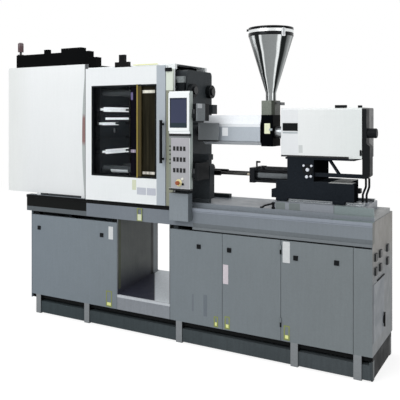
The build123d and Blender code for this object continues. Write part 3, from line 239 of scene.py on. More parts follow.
def surface(
    name, colour, rough=0.45, metal=0.0, patch=0.05, grain=0.03, streak=0.0, bump=0.05, bump_scale=900,
    ramp=None, zones=(), tops=None, sides=None, tint=None, worn=None, wear=0.0, edge=0.0012, brush=None,
    coat=0.0, custom=None, spec=0.3,
):
    """Painted, moulded or metal surface.

    Its colour comes from a ramp along X or a custom function, painted light and shade on its top and right
    faces, a tint in drifts, and zones, each a low corner, a high corner and a colour. On it come patches,
    grain, vertical streaks, brushing and worn edges. A low spec keeps a dark face dark, because the world is
    white at grazing angles.
    """
    f = Finish(name)
    base = srgb(*colour)
    if ramp:
        start, end, first, last = ramp
        base = f.mix(f.spread(f.x, start + SHIFT, end + SHIFT, 0, 1), srgb(*first), srgb(*last))
    if custom:
        base = custom(f)
    # Painted light and shade: faces looking up and faces looking right take colours of their own
    if tops:
        base = f.mix(f.facing(2), base, srgb(*tops))
    if sides:
        base = f.mix(f.facing(0), base, srgb(*sides))
    if tint:
        drift = f.noise(TINT_SCALE, detail=2, seed=(4, 1, 7))
        base = f.mix(f.spread(drift, 0.4, 0.65, 0, 0.3), base, srgb(*tint))
    for low, high, shade in zones:
        base = f.mix(f.zone(low, high), base, srgb(*shade))

    cloud = f.noise(CLOUD_SCALE, detail=4)
    fine = f.noise(GRAIN_SCALE, detail=2)
    factor = f.math("MULTIPLY", f.vary(cloud, 1 - patch, 1 + patch), f.vary(fine, 1 - grain, 1 + grain))
    if streak:
        lines = f.noise(STREAK_SCALE, stretch=(6, 6, 0.5), detail=3, seed=(2, 5, 1))
        factor = f.math("MULTIPLY", factor, f.spread(lines, 0.35, 0.7, 1 + streak / 2, 1 - streak))
    rough_mask = f.noise(ROUGH_SCALE, detail=3, seed=(8, 3, 2))
    height = f.noise(bump_scale, detail=2)
    if brush:
        lines = f.noise(BRUSH_SCALE, stretch=brush, detail=2, seed=(1, 9, 4))
        factor = f.math("MULTIPLY", factor, f.vary(lines, 0.9, 1.08))
        height = lines
        rough_mask = lines
    base = f.scaled(base, factor)

    rounded = f.add("ShaderNodeBevel", samples=4)
    rounded.inputs["Radius"].default_value = edge
    if wear:
        base = worn_edges(f, base, rounded.outputs[0], worn, wear)
    f.join(base, f.shader.inputs["Base Color"])
    rough_low, rough_high = max(0.02, rough - ROUGH_RANGE), min(1, rough + ROUGH_RANGE)
    f.join(f.vary(rough_mask, rough_low, rough_high), f.shader.inputs["Roughness"])
    f.shader.inputs["Metallic"].default_value = metal
    f.shader.inputs["Coat Weight"].default_value = coat
    f.shader.inputs["Specular IOR Level"].default_value = spec

    raised = f.add("ShaderNodeBump")
    raised.inputs["Strength"].default_value = bump
    raised.inputs["Distance"].default_value = BUMP_DEPTH
    f.join(height, raised.inputs["Height"])
    f.join(rounded.outputs[0], raised.inputs["Normal"])
    f.join(raised.outputs[0], f.shader.inputs["Normal"])
    return f.material


def dress(material, *names):
    """Gives CAD nodes a material."""
    for name in names:
        for holder in nodes[name].material_slots:
            holder.material = material


def paint(names, finish, colour, **look):
    """Gives CAD nodes a surface of their own."""
    dress(surface(finish, colour, **look), *names)


def ride(thing, body):
    """Puts a new object into the scene, on a body."""
    scene.collection.objects.link(thing)
    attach(thing, body)


def piece(name, form, material, body):
    """New mesh piece from a bmesh, riding on a body."""
    mesh = bpy.data.meshes.new(name)
    bmesh.ops.recalc_face_normals(form, faces=form.faces)
    form.to_mesh(mesh)
    form.free()
    mesh.materials.append(material)
    thing = bpy.data.objects.new(name, mesh)
    ride(thing, body)
    return thing


# Edges that bend more than this are softened, and round pieces show those beyond SMOOTH_ANGLE as sharp
RIM_ANGLE = 1.0
SMOOTH_ANGLE = math.radians(35)


def is_rim(edge):
    """Whether two faces meet here at a clear angle."""
    return len(edge.link_faces) == 2 and edge.calc_face_angle(0) > RIM_ANGLE


def share_along(edge, axis):
    """How much of an edge's direction lies along an axis, 0 to 1."""
    return abs((edge.verts[0].co - edge.verts[1].co).normalized()[axis])


def add_slab(form, low, high, axis=1, corner=0.003, edge=0.0006):
    """Adds a plate with round corners and softened rims to a bmesh; axis is its thin way."""
    low = placed(low)
    high = placed(high)
    size = high - low
    made = bmesh.ops.create_cube(form, size=1)["verts"]
    for vertex in made:
        vertex.co = (low + high) / 2 + Vector(vertex.co[i] * size[i] for i in range(3))
    verts = list(made)
    if corner:
        edges = dict.fromkeys(e for v in made for e in v.link_edges)
        along = [e for e in edges if share_along(e, axis) > 0.9]
        result = bmesh.ops.bevel(form, geom=along, offset=corner, segments=4, affect="EDGES", profile=0.5)
        verts += [v for f in result["faces"] for v in f.verts]
    if edge:
        links = dict.fromkeys(e for v in verts if v.is_valid for e in v.link_edges)
        rims = [e for e in links if is_rim(e) and share_along(e, axis) < 0.1]
        bmesh.ops.bevel(form, geom=rims, offset=edge, segments=2, affect="EDGES", profile=0.5)


def slab(name, low, high, material, body="root", axis=1, corner=0.003, edge=0.0006):
    """Plate or small box as a piece of its own."""
    form = bmesh.new()
    add_slab(form, low, high, axis, corner, edge)
    return piece(name, form, material, body)


# Thickness of the small plates
PLATE = 0.0014


def front_plate(name, x_span, z_span, face, material, body="root", thick=PLATE):
    """Thin plate on a face that looks to the front."""
    low = (x_span[0], face - thick, z_span[0])
    return slab(name, low, (x_span[1], face + SEAT, z_span[1]), material, body)


def frame_ring(name, low, high, width, material, body, front, back):
    """Flat ring around a window, mitred, with softened rims; low and high are (x, z) pairs."""
    form = bmesh.new()
    outer = [(low[0], low[1]), (high[0], low[1]), (high[0], high[1]), (low[0], high[1])]
    inner = [
        (low[0] + width, low[1] + width), (high[0] - width, low[1] + width),
        (high[0] - width, high[1] - width), (low[0] + width, high[1] - width),
    ]
    front_out, front_in, back_out, back_in = (
        [form.verts.new(placed((x, y, z))) for x, z in corners]
        for y in (front, back) for corners in (outer, inner)
    )
    for k in range(4):
        n = (k + 1) % 4
        form.faces.new((front_out[k], front_out[n], front_in[n], front_in[k]))
        form.faces.new((back_out[k], back_in[k], back_in[n], back_out[n]))
        form.faces.new((front_out[k], back_out[k], back_out[n], front_out[n]))
        form.faces.new((front_in[k], front_in[n], back_in[n], back_in[k]))
    rims = [e for e in form.edges if is_rim(e)]
    bmesh.ops.bevel(form, geom=rims, offset=0.0012, segments=2, affect="EDGES", profile=0.5)
    return piece(name, form, material, body)


def turned(name, centre, direction, profile, material, body, steps=40):
    """Round piece: profile gives (radius, way along the direction) pairs."""
    form = bmesh.new()
    turn = Vector(direction).to_track_quat("Z", "Y").to_matrix().to_4x4()
    place = Matrix.Translation(placed(centre)) @ turn
    rings = []
    for radius, way in profile:
        ring = []
        for k in range(steps if radius > 0 else 1):
            a = 2 * math.pi * k / steps
            ring.append(form.verts.new(place @ Vector((radius * math.cos(a), radius * math.sin(a), way))))
        rings.append(ring)
    for first, second in zip(rings, rings[1:]):
        for k in range(steps):
            n = (k + 1) % steps
            if len(first) == 1:
                form.faces.new((first[0], second[k], second[n]))
            elif len(second) == 1:
                form.faces.new((first[k], first[n], second[0]))
            else:
                form.faces.new((first[k], first[n], second[n], second[k]))
    if len(rings[0]) > 1 and profile[0] == profile[-1]:
        bmesh.ops.remove_doubles(form, verts=form.verts, dist=1e-6)
    made = piece(name, form, material, body)
    for face in made.data.polygons:
        face.use_smooth = True
    made.data.set_sharp_from_angle(angle=SMOOTH_ANGLE)
    return made


def button(radius, height, rim, shoulder, top=None):
    """Profile of a disc whose rim is chamfered from radius at height to rim at shoulder."""
    return ((0, 0), (radius, 0), (radius, height), (rim, shoulder), (0, shoulder if top is None else top))


def tube(name, points, radius, material, body):
    """Round bar that follows a smooth curve."""
    data = bpy.data.curves.new(name, "CURVE")
    data.dimensions = "3D"
    data.bevel_depth = radius
    data.bevel_resolution = 4
    data.use_fill_caps = True
    line = data.splines.new("NURBS")
    line.points.add(len(points) - 1)
    for point, place in zip(line.points, points):
        point.co = (*placed(place), 1)
    line.order_u = 3
    line.use_endpoint_u = True
    data.materials.append(material)
    thing = bpy.data.objects.new(name, data)
    ride(thing, body)
    return thing


# White covers and doors
WHITE = (238, 242, 243)
WHITE_WORN = (205, 208, 208)
# Painted shade for inner faces that the light hardly reaches
INSIDE_SHADE = (27, 30, 32)
COVER_MIDDLE = 1.507


def cover_gap(f):
    """White cover, grayer below, with painted shade for the bowed gap beside the door, a painted shadow of the
    door along it, and the gap's red-brown stretch.
    """
    base = f.mix(f.spread(f.z, 0.95, 2.0, 0, 1), srgb(223, 226, 227), srgb(233, 236, 237))
    base = f.mix(f.spread(f.x, -1.5 + SHIFT, -1.3 + SHIFT, 1, 0), base, srgb(225, 228, 227))
    # Painted shade of the bowed gap, widest halfway up
    level = f.spread(f.z, 0.98, 1.92, -1, 1)
    bow = f.spread(f.math("MULTIPLY", level, level), 0, 1, 0.025, 0)
    inside = f.math("GREATER_THAN", f.math("ADD", f.x, bow), -0.733 + SHIFT)
    # Painted shadow of the door along the gap's right edge
    shade = f.math("GREATER_THAN", f.x, -0.727 + SHIFT)
    way = f.math("ABSOLUTE", f.math("SUBTRACT", f.z, COVER_MIDDLE))
    red = f.math("MULTIPLY", f.spread(way, 0.09, 0.13, 1, 0), f.math("LESS_THAN", f.y, 0.0))
    gap = f.mix(red, srgb(166, 171, 171), srgb(134, 104, 102))
    gap = f.mix(shade, gap, srgb(70, 73, 75))
    return f.mix(inside, base, gap)


paint(
    ["left_cover"], "white_paint_cover", WHITE, rough=0.36, patch=0.015, grain=0.01, streak=0.01, bump=0.03,
    custom=cover_gap, worn=WHITE_WORN, wear=0.25, coat=0.15,
    zones=[((-0.7, -0.18, None), (None, -0.17, None), (122, 126, 128))],  # flange beside the door
)
paint(
    ["safety_door"], "white_paint_door", (230, 234, 235), spec=0.08, rough=0.36, patch=0.015, grain=0.01,
    streak=0.01, bump=0.03, tint=(230, 227, 236), worn=WHITE_WORN, wear=0.25,
    zones=[
        ((-0.033, None, None), (0.05, -0.2, None), (172, 180, 187)),  # right stile
        ((None, None, 1.983), OPEN, (14, 14, 15)),  # top rail
        ((-0.214, None, 1.1545), (-0.1665, None, 1.8495), (70, 62, 38)),  # window's bar
    ],
)
paint(
    ["guard_frame"], "white_paint_guard", WHITE, rough=0.4, patch=0.02, grain=0.01, streak=0.02, bump=0.03,
    worn=WHITE_WORN, wear=0.2,
    zones=[
        ((0.044, -0.21, None), (0.106, -0.19, 1.8), (136, 139, 124)),  # right post: painted shade below, greenish white above
        ((0.044, -0.21, 1.8), (0.106, -0.19, 1.98), (214, 222, 210)),
        ((None, -0.171, 0.97), (0.03, 0.302, 1.9905), INSIDE_SHADE),  # painted shade on what shows through the window
    ],
)
paint(
    ["rear_door"], "white_paint_rear", WHITE, rough=0.38, patch=0.02, grain=0.01, streak=0.015, bump=0.03,
    # inner face of the rear door painted as shade
    worn=WHITE_WORN, wear=0.25, zones=[((None, 0.2, None), (None, 0.3066, None), INSIDE_SHADE)],
)
paint(
    ["injection_cover"], "white_paint_injection", (234, 236, 237), rough=0.36, patch=0.02, grain=0.01,
    streak=0.012, bump=0.03, tint=(226, 232, 232), worn=(200, 204, 204), wear=0.25, coat=0.15,
    ramp=(1.05, 1.42, (231, 234, 234), (222, 227, 226)),
    zones=[
        ((0.88, None, None), (1.006, -0.08, None), (226, 229, 231)),  # end hood
        ((1.010, None, 1.370), (1.038, -0.08, 1.421), (202, 206, 206)),  # pale mark
        (OPEN, (1.345, -0.08, 1.3535), (24, 26, 28)),  # lower rim
        ((1.4275, None, None), OPEN, (22, 24, 26)),  # right rim
    ],
)
paint(
    ["hmi_head"], "white_paint_head", WHITE, rough=0.34, patch=0.015, grain=0.01, bump=0.02,
    # painted shade on its right-facing faces
    sides=(160, 170, 166), worn=(200, 204, 204), wear=0.2,
    zones=[
        ((None, -0.33, 1.474), (None, -0.3, 1.492), (20, 22, 25)),  # lines between screen and keypad
        ((None, -0.33, 1.462), (None, -0.3, 1.474), (120, 124, 126)),
        ((None, -0.33, None), (None, -0.2, 1.112), (24, 26, 28)),  # lower rim, painted dark as the shadow under the head
        ((0.3160, None, None), OPEN, (40, 43, 45)),  # right side
    ],
)

# Gray base
PANEL_GRAY = (119, 129, 137)
GRAY_LOOK = dict(
    rough=0.48, patch=0.035, grain=0.03, streak=0.03, bump=0.08, bump_scale=1200,
    ramp=(-1.27, 1.3, (116, 126, 134), (115, 122, 125)), worn=(150, 157, 162), wear=0.35,
)
GRAY_WORN = (160, 166, 172)


def end_face_shading(f):
    """Plain gray corner, and an end face with painted shading, browner toward its top."""
    side = f.mix(f.spread(f.z, 0.6, 0.8, 0, 1), srgb(108, 112, 115), srgb(124, 122, 118))
    return f.mix(f.facing(0), srgb(115, 122, 125), side)


paint(
    ["left_front_panel", "right_front_panel", "cabinet_door", "back_panels", "cross_beams"],
    "gray_paint_texture", PANEL_GRAY, **GRAY_LOOK,
)
paint(
    ["middle_front_panel"], "gray_paint_middle", PANEL_GRAY, **GRAY_LOOK,
    zones=[
        ((0.262, None, 0.24), (0.277, None, 0.36), (104, 112, 119)),  # two faint upright marks
        ((0.355, None, 0.22), (0.385, None, 0.37), (101, 109, 116)),
    ],
)
paint(
    # end face painted with the shading that the light gives it
    ["end_panel"], "gray_paint_end", PANEL_GRAY, **GRAY_LOOK, custom=end_face_shading,
    zones=[((1.5228, None, None), OPEN, (36, 38, 40))],  # socket covers
)
paint(
    ["long_beams"], "gray_paint_beam", (120, 128, 135), spec=0.08, rough=0.46, patch=0.04, grain=0.03,
    # painted light on top faces and painted shade on end faces
    streak=0.03, bump=0.08, bump_scale=1200, worn=GRAY_WORN, wear=0.3, tops=(121, 127, 133),
    sides=(116, 117, 114), ramp=(-0.7, 1.45, (116, 123, 131), (126, 133, 139)),
    zones=[
        ((None, -0.21, 0.937), (None, -0.2, 0.967), (141, 148, 158)),  # lip: painted highlight along the top of the front
        ((0.27, -0.21, None), (None, -0.2, 0.862), (106, 112, 116)),  # right beam's lower edge
        (OPEN, (-0.692, None, 0.962), (11, 13, 13)),  # left end under the cover painted near black as its shade, and its gray lower edge
        ((None, -0.21, 0.834), (-0.692, -0.2, 0.871), (92, 98, 102)),
        ((None, -0.21, 0.936), (0.112, -0.2, 0.97), (6, 7, 8)),  # painted shadow below the guards
        ((1.266, -0.2055, 0.9645), (None, -0.122, None), (119, 130, 131)),  # top at the right end
        ((1.455, -0.122, 0.96), OPEN, (124, 126, 126)),
        ((1.262, -0.2, 0.96), (1.266, None, None), (96, 102, 104)),  # its seam
    ],
)
paint(
    ["junction_box"], "gray_paint_box", (127, 135, 141), rough=0.46, patch=0.03, grain=0.03, streak=0.03,
    # painted shade on its right side and on its top under the head
    bump=0.06, worn=GRAY_WORN, wear=0.3, sides=(96, 103, 108), tops=(60, 64, 66),
)
paint(
    ["levelling_feet"], "gray_paint_feet", (128, 132, 135), rough=0.5, patch=0.06, grain=0.05, bump=0.08,
    # right sides painted near black as shadow
    worn=GRAY_WORN, wear=0.4, sides=(16, 18, 19), zones=[((1.49, None, None), OPEN, (66, 72, 74))],
)
# Posts painted near black as the shade in the gaps between panels, lighter high up toward the right
paint(
    ["base_posts"], "posts_gap_shade", (18, 20, 21), rough=0.55, spec=0.06, patch=0.1, grain=0.1,
    worn=(60, 62, 64), wear=0.3, zones=[((0.1, None, 0.78), OPEN, (52, 57, 60))],
)
paint(
    ["floor_tray"], "dark_paint_skirt", (60, 68, 71), spec=0.06, rough=0.55, patch=0.08, grain=0.06,
    streak=0.1, bump=0.1, ramp=(-1.27, 1.3, (58, 67, 70), (72, 78, 81)), worn=(110, 116, 118), wear=0.3,
    # painted shade on right-facing sides, and a painted shadow in the recess above the skirt
    sides=(20, 22, 23), zones=[((None, -0.3, 0.118), (None, -0.1, 0.16), (14, 16, 17))],
)
paint(
    ["oil_tank", "pump_unit"], "dark_paint_unit", (52, 60, 66), spec=0.06, rough=0.5, patch=0.1, grain=0.06,
    bump=0.1, worn=(110, 116, 118), wear=0.4,
)

# Parts chute and deck
SILL = 0.262
SHADOW_SLANT = 0.665


def chute_shade(f):
    """Light steel floor with a painted shadow along its left side, a left wall darker low down as painted
    shade, and the rear flange of the left wall.
    """
    # Painted shadow on the floor along the left wall, with a slanted edge
    slant = f.math("MULTIPLY_ADD", f.y, SHADOW_SLANT, f.x)
    floor_shadow = f.spread(slant, -0.192 + SHIFT, -0.180 + SHIFT, 1, 0)
    floor_shade = f.mix(floor_shadow, srgb(209, 215, 220), srgb(44, 46, 58))
    base = f.mix(f.facing(2), srgb(132, 137, 143), floor_shade)
    # Left wall darker low down, as painted shade
    wall = f.mix(f.spread(f.z, 0.3, 0.46, 0, 1), srgb(52, 54, 66), srgb(92, 96, 94))
    return f.mix(f.facing(0), base, wall)


paint(
    ["parts_chute"], "chute_paint", (132, 137, 143), rough=0.5, patch=0.07, grain=0.05, streak=0.06, bump=0.1,
    custom=chute_shade, worn=GRAY_WORN, wear=0.35,
    zones=[
        ((None, 0.285, None), (-0.37, None, None), (134, 139, 143)),  # left wall's flange, shadow, edge
        ((None, 0.245, None), (-0.37, 0.285, None), (28, 30, 32)),
        ((None, -0.19, 0.3), (-0.385, -0.16, None), (80, 84, 68)),
        ((None, None, SILL - 0.018), (None, -0.188, SILL + 0.001), (190, 195, 200)),  # sill
    ],
)
paint(
    ["slide_base"], "deck_steel", (134, 139, 146), rough=0.4, patch=0.05, grain=0.05, bump=0.08,
    # painted shading on its top faces
    tops=(128, 134, 141), worn=(175, 180, 185), wear=0.4,
    zones=[
        ((0.868, None, 0.95), (0.935, -0.136, 1.042), (110, 118, 118)),  # two darker fields in front
        ((0.962, None, 0.95), (1.038, -0.136, 1.042), (110, 118, 118)),
        ((1.262, None, 0.95), (1.266, None, 1.045), (92, 98, 100)),  # seam, and the strip right of it
        ((1.266, None, None), (None, -0.1, None), (124, 136, 137)),
    ],
)
paint(
    ["bed_deck"], "deck_plate", (126, 133, 140), rough=0.4, patch=0.06, grain=0.06, bump=0.08,
    # painted shading on its top faces
    tops=(116, 122, 129), worn=(175, 180, 185), wear=0.4,
    zones=[
        # deck inside the guard painted as shade
        ((None, -0.14, None), (-0.66, 0.28, None), INSIDE_SHADE),
        ((1.266, None, 0.99), (None, -0.122, None), (119, 130, 131)),
        ((1.455, -0.122, None), OPEN, (124, 126, 126)),
    ],
)

# Black and dark parts
LOW_TOP = 1.184
BLACK_LOOK = dict(spec=0.06, rough=0.42, patch=0.15, grain=0.1, bump=0.1, worn=(88, 92, 94), wear=0.45)
black_paint = surface("black_paint_soft", (24, 26, 28), **BLACK_LOOK)
dress(black_paint, "drive_end_plate", "screw_drive")
paint(
    ["hmi_bracket"], "bracket_black", (24, 26, 28), **BLACK_LOOK,
    zones=[
        ((0.35, None, 1.58), (None, -0.185, None), (122, 127, 130)),  # gray side with a bright spot
        ((0.35, -0.292, 1.668), (None, -0.228, 1.6985), (192, 196, 199)),
    ],
)
paint(
    ["service_duct"], "duct_black", (9, 10, 11), spec=0.02, rough=0.42, patch=0.12, grain=0.1, bump=0.08,
    worn=(74, 78, 80), wear=0.4,
)
paint(
    ["carriage"], "carriage_black", (31, 35, 40), spec=0.0, rough=0.4, patch=0.14, grain=0.12, bump=0.12,
    # painted light on its tops and painted shade on its right sides
    worn=(96, 100, 106), wear=0.5, tops=(44, 48, 53), sides=(14, 16, 18),
    zones=[((1.215, None, LOW_TOP - 0.0015), (1.37, None, LOW_TOP + 0.0015), (176, 178, 177))],  # painted highlight on its low top
)
paint(
    ["throat_block"], "throat_black", (6, 8, 11), spec=0.01, rough=0.36, patch=0.1, grain=0.1, bump=0.08,
    worn=(80, 84, 88), wear=0.4,
)
paint(
    ["nozzle_cylinders"], "cylinder_black", (28, 30, 33), spec=0.06, rough=0.36, patch=0.12, grain=0.1,
    bump=0.08, worn=(90, 94, 98), wear=0.4,
    zones=[((0.69, None, 1.186), (0.93, None, 1.221), (104, 109, 112))],  # painted highlight along the front
)
paint(
    ["platen_manifold"], "manifold_dark", (44, 48, 51), spec=0.06, rough=0.42, patch=0.2, grain=0.15,
    bump=0.15, worn=(110, 114, 116), wear=0.6,
    zones=[
        ((None, -0.16, 1.856), (0.2, -0.12, 1.91), (131, 137, 138)),  # light top and dark foot of a box
        ((None, -0.16, 1.76), (0.2, -0.12, 1.856), (21, 25, 28)),
    ],
)

# Iron, steel and chrome
# Painted highlight on the T-slots
PAINTED_SLOT_HIGHLIGHT = (253, 254, 255)
IRON_LOOK = dict(spec=0.06, rough=0.45, patch=0.2, grain=0.12, bump=0.14, wear=0.4)
CHROME_LOOK = dict(patch=0.05, grain=0.03, bump=0.03, brush=(120, 6, 6))
paint(
    ["fixed_platen"], "platen_iron_fixed", (52, 56, 59), spec=0.06, rough=0.42, patch=0.18, grain=0.12,
    # painted light on its top and right faces
    bump=0.14, worn=(120, 124, 126), wear=0.6, tops=(60, 64, 66), sides=(58, 63, 66),
    zones=[((None, -0.14, None), (0.17, -0.1265, 1.86), (24, 28, 31))],
)
paint(
    ["moving_platen"], "platen_iron_moving", (21, 24, 27), **IRON_LOOK, worn=(60, 64, 66),
    zones=[  # painted highlights on the T-slots
        ((-0.66, -0.085, 1.650), (None, None, 1.686), PAINTED_SLOT_HIGHLIGHT),
        ((-0.66, -0.100, 1.543), (None, 0.11, 1.566), PAINTED_SLOT_HIGHLIGHT),
        ((-0.66, -0.060, 1.586), (None, None, 1.604), (232, 235, 237)),
        ((-0.66, -0.060, 1.314), (None, None, 1.350), PAINTED_SLOT_HIGHLIGHT),
        ((-0.66, -0.03, 1.180), (None, None, 1.200), PAINTED_SLOT_HIGHLIGHT),
    ],
)
paint(["clamp_cylinder"], "cylinder_iron", (30, 34, 37), **IRON_LOOK, worn=(70, 74, 76))
steel = surface(
    "steel_ground", (150, 154, 157), rough=0.3, metal=0.9, patch=0.08, grain=0.06, bump=0.05,
    brush=(2, 60, 60), worn=(215, 218, 220), wear=0.4,
)
dress(steel, "barrel", "carriage_guides", "clamp_ways", "ejector", "screw")
paint(
    ["slide_gate"], "gate_dark", (70, 73, 75), rough=0.35, metal=0.6, patch=0.08, grain=0.06, bump=0.05,
    worn=(190, 194, 196), wear=0.4,
)
paint(
    ["tie_bar_nuts"], "nut_black", (28, 31, 33), spec=0.06, rough=0.35, metal=0.3, patch=0.15, grain=0.1,
    bump=0.08, worn=(120, 124, 126), wear=0.5,
)
paint(["clamp_ram"], "chrome_hard", (196, 200, 202), rough=0.16, metal=1.0, **CHROME_LOOK)
paint(
    # Chrome painted dark as the bars' shade inside the guard
    ["tie_bars"], "chrome_tie_bars_painted_shade", (66, 69, 71), rough=0.2, metal=0.2, **CHROME_LOOK,
    zones=[
        # painted deeper shade right of X 0.17
        ((0.17, None, None), OPEN, (30, 32, 34)),
        ((-0.532, None, 1.174), (-0.37, 0.0, 1.200), (253, 254, 254)),  # painted highlight on the low front bar
    ],
)
paint(
    ["nozzle_rods"], "rod_steel", (150, 142, 128), rough=0.28, metal=0.8, patch=0.1, grain=0.05, bump=0.04,
    brush=(90, 5, 5),
    zones=[(OPEN, (0.60, None, None), (52, 52, 50)), (OPEN, (0.39, None, None), (14, 16, 18))],
)

# Spun stainless hopper; STRIPES gives places along half a turn and gray levels, from STRIPES_START degrees on
HOPPER_X = 0.7505 + SHIFT
HOPPER_Y = 0.0625
STRIPES_START = 22.8
STRIPES = (
    (0.00, 60), (0.10, 96), (0.16, 128), (0.185, 236), (0.225, 240), (0.245, 34), (0.310, 26), (0.325, 236),
    (0.345, 225), (0.365, 126), (0.46, 132), (0.58, 138), (0.60, 232), (0.64, 240), (0.655, 60), (0.67, 22),
    (0.745, 26), (0.765, 96), (0.82, 128), (0.875, 176), (0.91, 110), (1.0, 40),
)


def cone_stripes(f):
    """Long bright and dark reflections of a polished cone, the same on both halves."""
    east = f.math("SUBTRACT", f.x, HOPPER_X)
    north = f.math("SUBTRACT", f.y, HOPPER_Y)
    around = f.math("ARCTAN2", north, east)
    wobble = f.vary(f.noise(3.0, stretch=(1, 1, 2), detail=2), -0.012, 0.012)
    turned_by = f.math("MULTIPLY_ADD", around, 1 / math.pi, 2 - STRIPES_START / 180)
    way = f.math("FRACT", f.math("ADD", turned_by, wobble))
    band = f.add("ShaderNodeValToRGB")
    stops = band.color_ramp.elements
    for stop, (place, level) in zip(stops, (STRIPES[0], STRIPES[-1])):
        stop.position = place
        stop.color = srgb(level, level + 3, level + 3)
    for place, level in STRIPES[1:-1]:
        stops.new(place).color = srgb(level, level + 4, level + 4)
    f.join(way, band.inputs[0])
    return band.outputs[0]


paint(
    ["hopper"], "stainless_spun", (140, 145, 145), rough=0.3, metal=0.85, patch=0.05, grain=0.05, bump=0.04,
    brush=(4, 4, 90), custom=cone_stripes, edge=0.0006,
    zones=[
        ((None, None, 2.212), (None, None, 2.23), (16, 17, 18)),  # rim's gasket
        ((None, None, 2.192), (None, None, 2.212), (226, 229, 229)),  # rim
        ((None, None, 2.168), (None, None, 2.192), (26, 28, 29)),
        ((None, None, 1.60), (0.775, None, 1.722), (108, 113, 106)),  # base block
        ((0.775, None, 1.60), (None, None, 1.722), (52, 55, 50)),
    ],
)
paint(
    ["hopper_lid"], "stainless_lid", (40, 42, 44), rough=0.3, metal=0.6, patch=0.08, grain=0.05, bump=0.04,
    # painted light on its top faces
    tops=(176, 180, 181), brush=(30, 30, 2), edge=0.0006,
)

# Covers over the barrel
paint(
    ["barrel_cover"], "barrel_cover_gray", (176, 184, 192), rough=0.36, metal=0.25, patch=0.03, grain=0.02,
    bump=0.04, brush=(2, 40, 40), worn=(236, 239, 242), wear=0.4,
    zones=[
        ((None, None, 1.538), (None, None, 1.63), (228, 232, 236)),  # upper slope
        ((None, None, 1.40), (None, None, 1.432), (222, 227, 232)),  # lower slope, and the fold above it
        ((None, None, 1.432), (None, None, 1.439), (140, 147, 154)),
    ],
)
guard_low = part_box("purge_guard")[0]
paint(
    ["purge_guard"], "guard_gray", (124, 129, 132), rough=0.4, metal=0.2, patch=0.05, grain=0.04, bump=0.06,
    zones=[(OPEN, (None, None, guard_low[2] + 0.012), (20, 22, 24))], worn=(180, 184, 186), wear=0.4,
)
paint(
    ["heater_bands"], "mica_bands", (120, 112, 100), rough=0.5, patch=0.1, grain=0.1, bump=0.2,
    worn=(170, 160, 140), wear=0.3,
)

# Plastics, rubber, screen and lamp
moulded_black = surface(
    "moulded_black", (22, 24, 26), spec=0.06, rough=0.5, patch=0.08, grain=0.1, bump=0.2, bump_scale=1500,
    worn=(70, 74, 76), wear=0.3,
)
dress(moulded_black, "door_handle", "door_latch", "panel_locks", "main_switch")
rubber = surface(
    "cable_rubber", (24, 25, 27), spec=0.06, rough=0.6, patch=0.1, grain=0.12, bump=0.15, brush=(10, 10, 120),
)
dress(rubber, "drive_cables")
keys_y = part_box("keypad")[0][1]
paint(
    ["keypad"], "keypad_film", (164, 165, 168), rough=0.42, patch=0.05, grain=0.03, bump=0.05,
    tint=(172, 162, 178), edge=0.0006,
    zones=[
        (OPEN, (0.166, None, None), (128, 134, 124)),
        ((None, keys_y - 0.001, None), (None, keys_y + 0.0014, None), (12, 12, 14)),  # the keys
    ],
)
screen_low, screen_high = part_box("hmi_screen")
paint(
    ["hmi_screen"], "screen_glass", (57, 65, 86), spec=0.03, rough=0.12, patch=0.06, grain=0.01, bump=0.0,
    tint=(66, 60, 88), coat=0.2,
    zones=[
        (OPEN, (None, None, screen_low[2] + 0.034), (42, 54, 62)),
        ((None, None, screen_high[2] - 0.012), OPEN, (44, 50, 66)),
        (OPEN, (screen_low[0] - SHIFT + 0.006, None, None), (38, 44, 54)),
        ((screen_high[0] - SHIFT - 0.005, None, None), OPEN, (38, 44, 58)),
    ],
)
paint(
    ["emergency_stop"], "stop_red", (146, 78, 44), rough=0.35, patch=0.05, grain=0.03, bump=0.03,
    worn=(220, 120, 80), wear=0.3,
)
beacon_low, beacon_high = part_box("beacon")
paint(
    ["beacon"], "beacon_lamp", (70, 44, 48), rough=0.22, patch=0.08, grain=0.05, bump=0.04, coat=0.3,
    zones=[
        (OPEN, (None, None, beacon_low[2] + 0.03), (24, 22, 24)),
        ((None, None, beacon_high[2] - 0.03), OPEN, (88, 72, 76)),
    ],
)


def pane(name, colour, tints_and_painted_shade):
    """Clear sheet with parts that carry a tint or painted shade; each is its zone, its colour and how solid it
    is.
    """
    f = Finish(name)
    clear = srgb(*colour)
    base = clear
    solid = None
    for low, high, shade, cover in tints_and_painted_shade:
        mask = f.zone(low, high)
        base = f.mix(mask, base, srgb(*shade))
        part = f.math("MULTIPLY", mask, cover)
        solid = part if solid is None else f.math("MAXIMUM", solid, part)
    lines = f.noise(5, stretch=(14, 14, 0.6), detail=3)
    cloud = f.noise(6, stretch=(3, 3, 0.7), detail=3, seed=(5, 5, 5))
    factor = f.math("MULTIPLY", f.vary(lines, 0.55, 1.5), f.vary(cloud, 0.8, 1.2))
    f.join(f.mix(solid, clear, f.scaled(base, factor)), f.shader.inputs["Base Color"])
    f.join(f.vary(f.noise(20, detail=2), 0.03, 0.09), f.shader.inputs["Roughness"])
    f.join(f.spread(solid, 0, 1, 1, 0), f.shader.inputs["Transmission Weight"])
    f.shader.inputs["IOR"].default_value = 1.1
    return f.material


